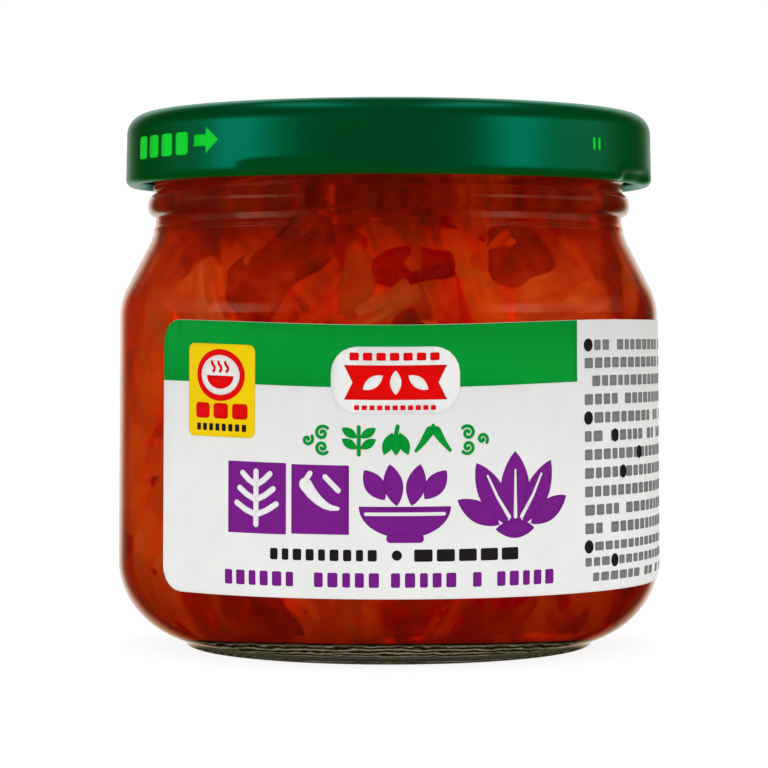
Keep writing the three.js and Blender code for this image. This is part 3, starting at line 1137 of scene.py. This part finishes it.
class KIMCHIJAR_OT_reds(JarStep, bpy.types.Operator):
    """Print the red banner and the badge's ring, bowl and bars"""

    bl_idname = "kimchi_jar.reds"
    bl_label = "Print Reds"

    def execute(self, context):
        colours = context.scene.kimchi_jar_colours
        ink("print_red", self.draw, printed("red_ink", colours.red), 4)
        ink("print_banner_leaves", self.leaves, bpy.data.materials["white_ink"], 5)
        ink("print_badge_bars", self.bars, printed("black_ink", colours.black), 4)
        return {"FINISHED"}

    def draw(self, bm):
        x, y = BADGE_CENTRE
        add_stroke(bm, arc(BADGE_CENTRE, (3.55, 2.95), 0, 360, 40), 0.75)
        add_outline(bm, arc((x, y - 0.1), (2.2, 1.7), 180, 360, 14))
        for offset in (-1.1, 0.0, 1.1):
            steam = [(x + offset + 0.25 * math.sin(i), y + 0.45 + 0.24 * i) for i in range(6)]
            add_stroke(bm, steam, 0.4)
        add_row(bm, -27.4, 31.75, 33.7, 2.35, 3.05, 3, 0.45)
        self.banner(bm)
        add_row(bm, -5.0, 39.75, 40.75, 1.2, 1.72, 7, 0.2)
        add_row(bm, -4.4, 33.45, 34.05, 0.66, 0.98, 11, 0.1)

    def banner(self, bm):
        left, right = PLAQUE_MIDDLE - BANNER_HALF, PLAQUE_MIDDLE + BANNER_HALF
        middle = (BANNER_LOW + BANNER_HIGH) / 2
        lower = [(left, BANNER_LOW), (right, BANNER_LOW), (right - BANNER_NOTCH, middle)]
        upper = [(right, BANNER_HIGH), (left, BANNER_HIGH), (left + BANNER_NOTCH, middle)]
        add_outline(bm, lower + upper)

    def leaves(self, bm):
        for i, turn in ((-1, 35), (0, 90), (1, 145)):
            add_leaf(bm, (PLAQUE_MIDDLE + i * 2.9, BANNER_LEAF_LEVEL), 3.1, 1.45, turn)

    def bars(self, bm):
        add_row(bm, -27.2, 30.2, 31.1, 0.62, 1.06, 8, 0.12)


class KIMCHIJAR_OT_title(JarStep, bpy.types.Operator):
    """Print the green scrolls and the three small vegetables between them"""

    bl_idname = "kimchi_jar.title"
    bl_label = "Print Title Row"

    def execute(self, context):
        ink("print_title", self.draw, bpy.data.materials["green_ink"], 2, step=FINE_STEP)
        return {"FINISHED"}

    def draw(self, bm):
        for side, middle in ((-1, -9.2), (1, 10.9)):
            self.scroll(bm, side, middle)
        self.sprig(bm, -3.8, TITLE_LEVEL)
        self.bulb(bm, 0.95, TITLE_LEVEL)
        self.peppers(bm, 5.7, TITLE_LEVEL)

    def scroll(self, bm, side, middle):
        """Three spirals, mirrored on the two sides."""
        inner = middle - side * 0.65
        big = spiral((inner, TITLE_LEVEL + 0.85), 0.95, 1.3, 90 - 60 * side, side)
        small = spiral((inner, TITLE_LEVEL - 0.95), 0.9, 1.3, -90 + 60 * side, -side)
        outer = spiral((middle + side * 1.3, TITLE_LEVEL), 0.75, 1.1, 0, -side)
        for points in (big, small, outer):
            add_stroke(bm, points, 0.42)

    def sprig(self, bm, x, y):
        add_stroke(bm, [(x, y - 1.8), (x, y), (x, y + 1.7)], 0.5)
        for side in (-1, 1):
            for i in range(2):
                add_leaf(bm, (x + side * 1.2, y - 0.45 + 1.4 * i), 2.3, 1.15, 90 - side * 58)

    def bulb(self, bm, x, y):
        for side in (-1, 0, 1):
            add_leaf(bm, (x + side, y - 0.4), 3.0, 1.4, 90 + side * 22)
        add_stroke(bm, [(x, y + 0.8), (x + 0.2, y + 1.8)], 0.55)

    def peppers(self, bm, x, y):
        for side in (-1, 1):
            tip = [(x + side * (0.4 + 0.36 * i), y + 1.2 - 0.6 * i + 0.02 * i * i) for i in range(6)]
            add_stroke(bm, tip, 1.2, 0.35)
        add_stroke(bm, [(x, y + 1.85), (x, y + 1.2)], 0.5)


class KIMCHIJAR_OT_motifs(JarStep, bpy.types.Operator):
    """Print the purple squares and the two large vegetable motifs"""

    bl_idname = "kimchi_jar.motifs"
    bl_label = "Print Motifs"

    def execute(self, context):
        purple = printed("purple_ink", context.scene.kimchi_jar_colours.purple)
        white = bpy.data.materials["white_ink"]
        ink("print_squares", self.squares, purple, 1)
        ink("print_square_motifs", self.square_motifs, white, 2, step=FINE_STEP)
        ink("print_bowl", self.bowl, purple, 1, step=FINE_STEP)
        ink("print_cabbage", self.cabbage, purple, 1, step=FINE_STEP)
        ink("print_veins", self.veins, white, 3, step=FINE_STEP)
        return {"FINISHED"}

    def squares(self, bm):
        for box in SQUARES:
            add_box(bm, *box, 0.12)

    def square_motifs(self, bm):
        """A fern in the left square and a radish in the right one."""
        x, y = FERN_CENTRE
        add_stroke(bm, [(x, y - 3.4), (x, y), (x, y + 3.3)], 0.75)
        for side in (-1, 1):
            for i in range(3):
                start = (x + side * 0.2, y - 2.1 + 1.9 * i)
                end = (x + side * (2.9 - 0.45 * i), start[1] + 1.35)
                bend = ((start[0] + end[0]) / 2, (start[1] + end[1]) / 2 - 0.15)
                add_stroke(bm, [start, bend, end], 0.75)
        x, y = RADISH_CENTRE
        add_stroke(bm, [(x - 1.9 + 0.85 * i, y + 1.9 - 1.25 * i + 0.13 * i * i) for i in range(6)], 1.7, 0.3)
        add_stroke(bm, [(x - 1.9, y + 2.4), (x - 1.3, y + 3.3)], 0.7)
        add_stroke(bm, [(x + 0.7, y + 2.9), (x + 2.4, y + 1.2)], 0.7)

    def bowl(self, bm):
        x, y = BOWL_CENTRE
        add_outline(bm, arc((x, y - 0.4), (5.9, 4.0), 180, 360, 26))
        add_box(bm, x - 2.4, x + 2.4, y - 5.0, y - 3.9, 0.5)
        for offset, turn, size in ((-3.9, 125, 4.6), (-1.5, 100, 5.4), (1.4, 78, 5.4), (3.9, 52, 4.6)):
            add_leaf(bm, (x + offset, y + 2.35), size, 2.5, turn)

    def cabbage(self, bm):
        x, y = CABBAGE_CENTRE
        for offset, lift, turn, length, width in (
            (0.0, 0.9, 90, 9.6, 4.2),
            (-3.3, 0.4, 118, 9.0, 3.5),
            (3.3, 0.4, 62, 9.0, 3.5),
            (-5.1, -1.9, 150, 6.6, 2.7),
            (5.1, -1.9, 30, 6.6, 2.7),
            (0.0, -4.1, 0, 5.6, 2.4),
        ):
            add_leaf(bm, (x + offset, y + lift), length, width, turn)

    def veins(self, bm):
        """White veins in the cabbage and a white line under the rim of the bowl."""
        x, y = CABBAGE_CENTRE
        for side in (-1, 0, 1):
            start = (x + side * 0.9, y - 2.6)
            end = (x + side * 3.9, y + 3.3 - abs(side) * 0.6)
            middle = ((start[0] + end[0]) / 2 + side * 0.2, (start[1] + end[1]) / 2)
            add_stroke(bm, [start, middle, end], 0.5, 0.5)
        x, y = BOWL_CENTRE
        add_stroke(bm, [(x - 5.0 + i, y - 1.35) for i in range(11)], 0.45)


# The lines of small bars on the label, in millimetres. Rows are their low and high edges.
PURPLE_ROW = (10.9, 12.75)
PURPLE_WORDS = ((-22.4, -11.0), (-9.6, -0.9), (0.3, 9.4), (10.9, 12.9), (14.2, 23.4))
SIDE_LEFT = 28.2
SIDE_RIGHT = 78.0
# The height of the first row, the drop to the next, the height of a bar and the number of rows.
LARGE_ROWS = (41.0, 2.35, 1.35, 11)
SMALL_ROWS = (15.2, 1.95, 1.1, 3)
INDENTED_ROWS = (0, 4, 11)
BULLETS = ((0, 28.9), (4, 28.9), (5, 34.6), (6, 41.5), (7, 36.6), (11, 28.9), (12, 34.4))
TABLE_LEFT = 84
TABLE_RIGHT = 112
TABLE_TOP = 40.5
TABLE_ROWS = 8
TABLE_DROP = 3.4
BLOCK_LEFT = 118
BLOCK_RIGHT = 150
BLOCK_ROWS = 11
BLOCK_DROP = 2.35


class KIMCHIJAR_OT_lines(JarStep, bpy.types.Operator):
    """Print the lines of small bars at the front and round the side"""

    bl_idname = "kimchi_jar.lines"
    bl_label = "Print Lines"

    def execute(self, context):
        black = bpy.data.materials["black_ink"]
        grey = printed("grey_ink", context.scene.kimchi_jar_colours.grey)
        ink("print_purple_line", self.purple_line, bpy.data.materials["purple_ink"], 1)
        ink("print_black_line", self.black_line, black, 1)
        ink("print_side_lines", self.side_lines, grey, 1, step=WIDE_STEP)
        ink("print_bullets", self.bullets, black, 2)
        return {"FINISHED"}

    def purple_line(self, bm):
        for left, right in PURPLE_WORDS:
            add_run(bm, left, right, *PURPLE_ROW, [1.15, 1.3, 1.0], 0.62)

    def black_line(self, bm):
        add_run(bm, -15.6, -0.9, 14.25, 15.7, [1.05, 0.9, 1.15], 0.6)
        add_disc(bm, (1.05, 15.0), 0.65, 16)
        add_run(bm, 3.25, 17.5, 14.2, 15.75, [2.35], 0.55)

    def rows(self):
        """Heights of the side rows, with the height of their bars."""
        made = []
        for top, drop, height, rows in (LARGE_ROWS, SMALL_ROWS):
            made += [(top - drop * i, height) for i in range(rows)]
        return made

    def side_lines(self, bm):
        draw = random.Random(3)
        for i, (middle, height) in enumerate(self.rows()):
            place = SIDE_LEFT + (1.9 if i in INDENTED_ROWS else 0)
            while place < SIDE_RIGHT:
                width = draw.uniform(1.15, 1.9)
                if draw.random() < 0.1:
                    place += 1.5
                add_box(bm, place, place + width, middle - height / 2, middle + height / 2, 0.18)
                place += width + 0.42
        self.table(bm)

    def table(self, bm):
        """A plain table and a plain block of bars for the back."""
        left, right = TABLE_LEFT, TABLE_RIGHT
        for i in range(TABLE_ROWS + 1):
            level = TABLE_TOP - TABLE_DROP * i
            add_box(bm, left, right, level, level + 0.16, 0.05)
            if i < TABLE_ROWS:
                low, high = level - 2.2, level - 1.1
                add_box(bm, left + 1.2, left + 9 + 2 * (i % 3), low, high, 0.2)
                add_box(bm, right - 6 + i % 2, right - 1.2, low, high, 0.2)
        for i in range(BLOCK_ROWS):
            level = TABLE_TOP - BLOCK_DROP * i
            add_run(bm, BLOCK_LEFT, BLOCK_RIGHT - 3 * (i % 4), level - 1.3, level, [3.1, 2.2], 0.5)

    def bullets(self, bm):
        rows = self.rows()
        for row, across in BULLETS:
            add_disc(bm, (across, rows[row][0]), 0.85, 18)


# Painted shade on the kimchi: how much darker it is made under the lid and near the floor, and how far that
# shade pulls its tone down.
LID_SHADE = 0.7
LID_SHADE_FROM = 49 * MM
LID_SHADE_RUN = 12 * MM
FLOOR_SHADE = 0.25
FLOOR_SHADE_BELOW = 13 * MM
FLOOR_SHADE_RUN = 7 * MM
SHADE_PULL = 0.55
GOLDEN_ANGLE = 2.39996
PINCH = 0.12
PHASES = 50
LOWEST = FLOOR_HEIGHT + 1.4 * MM
HIGHEST = FILL_HEIGHT - 0.5 * MM


def shadow_at(height):
    """How much painted shade darkens the kimchi under the lid and near the floor."""
    above = smooth((height - LID_SHADE_FROM) / LID_SHADE_RUN)
    below = smooth((FLOOR_SHADE_BELOW - height) / FLOOR_SHADE_RUN)
    return LID_SHADE * above + FLOOR_SHADE * below


def toned(tone, height):
    """A tone with the painted shade at its height laid on."""
    shadow = shadow_at(height)
    return tone * (1 - shadow) - SHADE_PULL * shadow


def lump(x, y, size, phase):
    """Smooth noise over a flat piece, with lumps of a size in millimetres."""
    return noise.noise(Vector((x, y, 0)) / (size * MM) + phase)


class Heap:
    """Places cut pieces of one kind against the glass and joins them. Its ranges are in millimetres."""

    def __init__(self, kind, seed_step):
        contents = bpy.context.scene.kimchi_jar_contents
        self.count = getattr(contents, kind)
        self.longest = getattr(bpy.context.scene.kimchi_jar_sizes, kind)
        self.random = random.Random(contents.seed + seed_step)
        self.outline = hollow_profile(0, FILL_HEIGHT)
        self.bm = bmesh.new()
        self.tone = self.bm.verts.layers.float.new("tone")
        self.lay = self.bm.verts.layers.float_vector.new("lay")

    def pick(self, low, high=None):
        """A random value between two, or the only value as it is."""
        return low if high is None else low + (high - low) * self.random.random()

    def slab(self, steps, size, round_off):
        """A block with softened edges, as flat points of along, across and deep."""
        block = bmesh.new()
        bmesh.ops.create_grid(block, x_segments=steps[0], y_segments=steps[1], size=1)
        lift_copy(block, 1)
        bmesh.ops.translate(block, verts=block.verts, vec=(0, 0, -0.5))
        for vert in block.verts:
            x, y, z = vert.co
            edge = 1 - round_off * max(abs(x) ** 6, abs(y) ** 6)
            long = x * size[0] / 2 * (1 - PINCH * abs(y) ** 3)
            wide = y * size[1] / 2 * (1 - PINCH * abs(x) ** 3)
            vert.co = (long, wide, z * size[2] * edge)
        return block

    def place(self, block, angle, height, turn, depth, tone, wave, nearest=1.2 * MM, pull=0.0):
        """Lays a block on the inside of the glass, at a depth behind it."""
        cos, sin = math.cos(turn), math.sin(turn)
        phase = Vector([self.pick(0, PHASES) for _ in range(3)])
        bmesh.ops.recalc_face_normals(block, faces=block.faces)
        copied = {}
        for vert in block.verts:
            x, y, z = vert.co
            x += lump(x, y, 7, 2 * phase) * 2.4 * MM
            y += lump(x, y, 5, 3 * phase) * 1.8 * MM
            x += lump(x, y, 2.2, phase) * 0.8 * MM
            ripple = lump(x, y, 6, phase) * wave + lump(x, y, 2.4, phase) * wave * 0.35
            level = min(max(height + x * sin + y * cos, LOWEST), HIGHEST)
            inward = depth + wave * 0.7 - ripple - z + pull * (x * x + y * y)
            radius = radius_at(self.outline, level) - max(nearest, inward)
            turned = angle + (x * cos - y * sin) / (BODY_RADIUS - WALL)
            new = self.bm.verts.new((radius * math.sin(turned), -radius * math.cos(turned), level))
            # The tone carries the piece's own random tone with painted shade laid on.
            new[self.tone] = toned(tone, level)
            new[self.lay] = Vector((x, y, z)) / MM + phase
            copied[vert] = new
        for face in block.faces:
            self.bm.faces.new([copied[vert] for vert in face.verts])
        block.free()

    def scatter(
        self,
        steps,
        round_off,
        shortest,
        widths,
        thicknesses,
        depths,
        wave,
        half_sunk=False,
        start=0.0,
        spread=0.3,
        lift=0.0,
        settle=None,
        two_ways=False,
        turns=(-1.5, 1.5),
        tones=(0, 0.9),
        pull=0.0,
    ):
        """Lays random pieces all round the jar, from the floor up. Where they settle, most are low."""
        for i in range(self.count):
            size = (
                self.pick(shortest, 1.0) * self.longest,
                self.pick(*widths) * MM,
                self.pick(*thicknesses) * MM,
            )
            block = self.slab(steps, size, round_off)
            angle = i * GOLDEN_ANGLE + start + self.pick(-spread, spread)
            drawn = self.random.random()
            share = drawn**settle if settle else (i + drawn) / self.count
            height = FLOOR_HEIGHT + lift * MM + (FILL_HEIGHT - FLOOR_HEIGHT) * share
            depth = self.pick(*depths) * MM + (size[2] / 2 if half_sunk else 0)
            side = self.random.choice((-1, 1)) if two_ways else 1
            turn = side * self.pick(*turns)
            self.place(block, angle, height, turn, depth, self.pick(*tones), wave * MM, pull=pull)

    def show(self, steps, thickness, pieces):
        """Lays the pieces that stand out in front: azimuth, height and turn, then length, width and tone."""
        for azimuth, height, turn, length, width, tone in pieces:
            block = self.slab(steps, (length * MM, width * MM, thickness * MM), 0.5)
            place = (math.radians(azimuth), height * MM, math.radians(turn))
            depth = (thickness / 2 + 0.7) * MM
            self.place(block, *place, depth, tone, 0.5 * MM, nearest=0.7 * MM)

    def finish(self, name, material):
        """Joins all pieces that were laid."""
        bmesh.ops.recalc_face_normals(self.bm, faces=self.bm.faces)
        piece(name, self.bm, material)


class KIMCHIJAR_OT_sauce(JarStep, bpy.types.Operator):
    """Fill the jar with cloudy sauce that reaches just into the glass"""

    bl_idname = "kimchi_jar.sauce"
    bl_label = "Pour Sauce"

    def execute(self, context):
        outline = hollow_profile(-SAUCE_OVERLAP, FILL_HEIGHT)
        top = line(outline[-1], (0, FILL_HEIGHT), 8)
        material = murky_sauce(context.scene.kimchi_jar_colours.sauce)
        sauce = piece("sauce", spun(outline + top, 160), material)
        # The lowest faces carry the painted reflection of the base.
        sauce.data.materials.append(mirrored_base())
        for face in sauce.data.polygons:
            face.material_index = int(face.center.z < MIRRORED_BELOW)
        return {"FINISHED"}


CORE_STOPS = [(0.0, srgb(120, 42, 16)), (0.5, srgb(176, 46, 14)), (1.0, srgb(218, 84, 22))]
CORE_INSET = 3.6 * MM
CORE_DROP = 2.0 * MM
CORE_TONE = 0.5


class KIMCHIJAR_OT_core(JarStep, bpy.types.Operator):
    """Pack the lumpy middle of the heap"""

    bl_idname = "kimchi_jar.core"
    bl_label = "Pack Core"

    def execute(self, context):
        outline = hollow_profile(CORE_INSET, FILL_HEIGHT - CORE_DROP)
        top = line(outline[-1], (0, outline[-1][1]), 8)
        bm = spun(outline + top, 128)
        bmesh.ops.subdivide_edges(bm, edges=bm.edges, cuts=1, use_grid_fill=True)
        for vert in bm.verts:
            if radius_of(vert.co) > 2 * MM:
                large = noise.noise(vert.co / (9 * MM)) * 1.6 * MM
                push_out(vert, large + noise.noise(vert.co / (3.5 * MM)) * 0.7 * MM)
        tone = bm.verts.layers.float.new("tone")
        lay = bm.verts.layers.float_vector.new("lay")
        for vert in bm.verts:
            # The core's tone carries painted shade under the lid and near the floor.
            vert[tone] = toned(CORE_TONE, vert.co.z)
            vert[lay] = vert.co / MM
        material = vegetable("packed_kimchi", CORE_STOPS, (0.25, 0.25, 0.1))
        piece("kimchi_core", bm, material, "kimchi")
        return {"FINISHED"}


SHOWN_RIBS = ((-45, 45.5, -50, 15, 8, 0.7), (0, 47, 25, 9, 4, 0.6), (42, 47, 10, 16, 8, 0.6))
SHOWN_LEAVES = ((-7, 49.5, 80, 8, 4, 0.75), (32, 53, 10, 11, 8, 0.3), (-26, 52, 40, 17, 9, 0.25))
SHOWN_STRIPS = (
    (22, 46, -68, 22, 4.2, 0.8),
    (26, 53, 35, 12, 3, 0.4),
    (-66, 38, 70, 22, 8, 0.75),
    (-75, 26, 100, 22, 9, 0.85),
    (-62, 15, 60, 20, 8, 0.65),
)
SHOWN_FLAKES = ((3, 51, 6, 15, 4.0, 0.3), (49.2, 50.1, 70, 3.4, 2.6, 0.4), (28, 10, 20, 4, 3, 0.5))

RIB_STOPS = [
    (0.0, srgb(160, 50, 20)),
    (0.4, srgb(226, 80, 24)),
    (0.75, srgb(246, 122, 54)),
    (1.0, srgb(250, 172, 104)),
]
LEAF_STOPS = [
    (0.0, srgb(126, 34, 12)),
    (0.45, srgb(190, 46, 12)),
    (0.75, srgb(220, 86, 24)),
    (1.0, srgb(208, 108, 38)),
]
CARROT_STOPS = [(0.0, srgb(156, 38, 10)), (0.3, srgb(236, 70, 12)), (1.0, srgb(255, 130, 40))]
CHILLI_STOPS = [(0.0, srgb(150, 4, 4)), (0.5, srgb(206, 10, 6)), (1.0, srgb(236, 34, 10))]


class KIMCHIJAR_OT_ribs(JarStep, bpy.types.Operator):
    """Lay in the thick cuts of cabbage rib"""

    bl_idname = "kimchi_jar.ribs"
    bl_label = "Add Ribs"

    def execute(self, context):
        heap = Heap("rib", 0)
        sizes = {"shortest": 0.55, "widths": (8, 14), "thicknesses": (2.2, 3.6), "depths": (0.4, 3.4)}
        heap.scatter((14, 9), 0.45, **sizes, wave=1.1, half_sunk=True, spread=0.2, lift=2, pull=6.0)
        heap.show((14, 9), 2.0, SHOWN_RIBS)
        heap.finish("cabbage_ribs", vegetable("cabbage_rib", RIB_STOPS, (0.12, 0.9, 0.5)))
        return {"FINISHED"}


class KIMCHIJAR_OT_leaves(JarStep, bpy.types.Operator):
    """Lay in the thin crumpled cuts of leaf"""

    bl_idname = "kimchi_jar.leaves"
    bl_label = "Add Leaves"

    def execute(self, context):
        heap = Heap("leaf", 1)
        sizes = {"shortest": 0.55, "widths": (10, 18), "thicknesses": (0.55,), "depths": (0.3, 2.6)}
        heap.scatter((22, 16), 0.3, **sizes, wave=2.2, start=1)
        heap.show((14, 12), 0.55, SHOWN_LEAVES)
        heap.finish("cabbage_leaves", vegetable("cabbage_leaf", LEAF_STOPS, (0.35, 0.35, 0.3)))
        return {"FINISHED"}


class KIMCHIJAR_OT_strips(JarStep, bpy.types.Operator):
    """Lay in the strips of carrot"""

    bl_idname = "kimchi_jar.strips"
    bl_label = "Add Strips"

    def execute(self, context):
        heap = Heap("strip", 2)
        sizes = {"shortest": 0.5, "widths": (2.2, 3.6), "thicknesses": (2.0, 2.6), "depths": (0.2, 2.2)}
        steep = {"two_ways": True, "turns": (0.6, 1.7), "tones": (0.2, 0.9)}
        heap.scatter((18, 4), 0.5, **sizes, **steep, wave=0.8, half_sunk=True, start=2)
        heap.show((18, 4), 1.8, SHOWN_STRIPS)
        heap.finish("carrot_strips", vegetable("carrot", CARROT_STOPS, (0.15, 1.2, 1.2)))
        return {"FINISHED"}


class KIMCHIJAR_OT_flakes(JarStep, bpy.types.Operator):
    """Scatter the flakes of dried chilli"""

    bl_idname = "kimchi_jar.flakes"
    bl_label = "Scatter Flakes"

    def execute(self, context):
        heap = Heap("flake", 3)
        sizes = {"shortest": 0.37, "widths": (0.6, 1.4), "thicknesses": (0.3,), "depths": (0.2, 2.0)}
        heap.scatter((4, 3), 0.5, **sizes, wave=0.5, settle=1.7)
        heap.show((10, 6), 0.5, SHOWN_FLAKES)
        heap.finish("chilli_flakes", vegetable("chilli", CHILLI_STOPS, (1, 1, 1)))
        return {"FINISHED"}


STEPS = (
    KIMCHIJAR_OT_camera,
    KIMCHIJAR_OT_stage,
    KIMCHIJAR_OT_glass,
    KIMCHIJAR_OT_lid,
    KIMCHIJAR_OT_lid_marks,
    KIMCHIJAR_OT_label,
    KIMCHIJAR_OT_fields,
    KIMCHIJAR_OT_whites,
    KIMCHIJAR_OT_reds,
    KIMCHIJAR_OT_title,
    KIMCHIJAR_OT_motifs,
    KIMCHIJAR_OT_lines,
    KIMCHIJAR_OT_sauce,
    KIMCHIJAR_OT_core,
    KIMCHIJAR_OT_ribs,
    KIMCHIJAR_OT_leaves,
    KIMCHIJAR_OT_strips,
    KIMCHIJAR_OT_flakes,
)


class KIMCHIJAR_PT_panel(bpy.types.Panel):
    """Lists the jar's sizes, colours, contents and steps"""

    bl_label = "Kimchi Jar"
    bl_idname = "KIMCHIJAR_PT_panel"
    bl_space_type = "VIEW_3D"
    bl_region_type = "UI"
    bl_category = "Kimchi Jar"

    def draw(self, context):
        layout = self.layout
        scene = context.scene
        for settings in (scene.kimchi_jar_sizes, scene.kimchi_jar_colours, scene.kimchi_jar_contents):
            box = layout.box()
            for name in settings.bl_rna.properties.keys():
                if name not in ("rna_type", "name"):
                    box.prop(settings, name)
        for step in STEPS:
            layout.operator(step.bl_idname)


CLASSES = (JarSizes, JarColours, JarContents, *STEPS, KIMCHIJAR_PT_panel)


def register():
    for cls in CLASSES:
        bpy.utils.register_class(cls)
    bpy.types.Scene.kimchi_jar_sizes = bpy.props.PointerProperty(type=JarSizes)
    bpy.types.Scene.kimchi_jar_colours = bpy.props.PointerProperty(type=JarColours)
    bpy.types.Scene.kimchi_jar_contents = bpy.props.PointerProperty(type=JarContents)


def unregister():
    del bpy.types.Scene.kimchi_jar_contents
    del bpy.types.Scene.kimchi_jar_colours
    del bpy.types.Scene.kimchi_jar_sizes
    for cls in reversed(CLASSES):
        bpy.utils.unregister_class(cls)


def main():
    register()
    for step in STEPS:
        group, name = step.bl_idname.split(".")
        getattr(getattr(bpy.ops, group), name)()


if __name__ == "__main__":
    main()
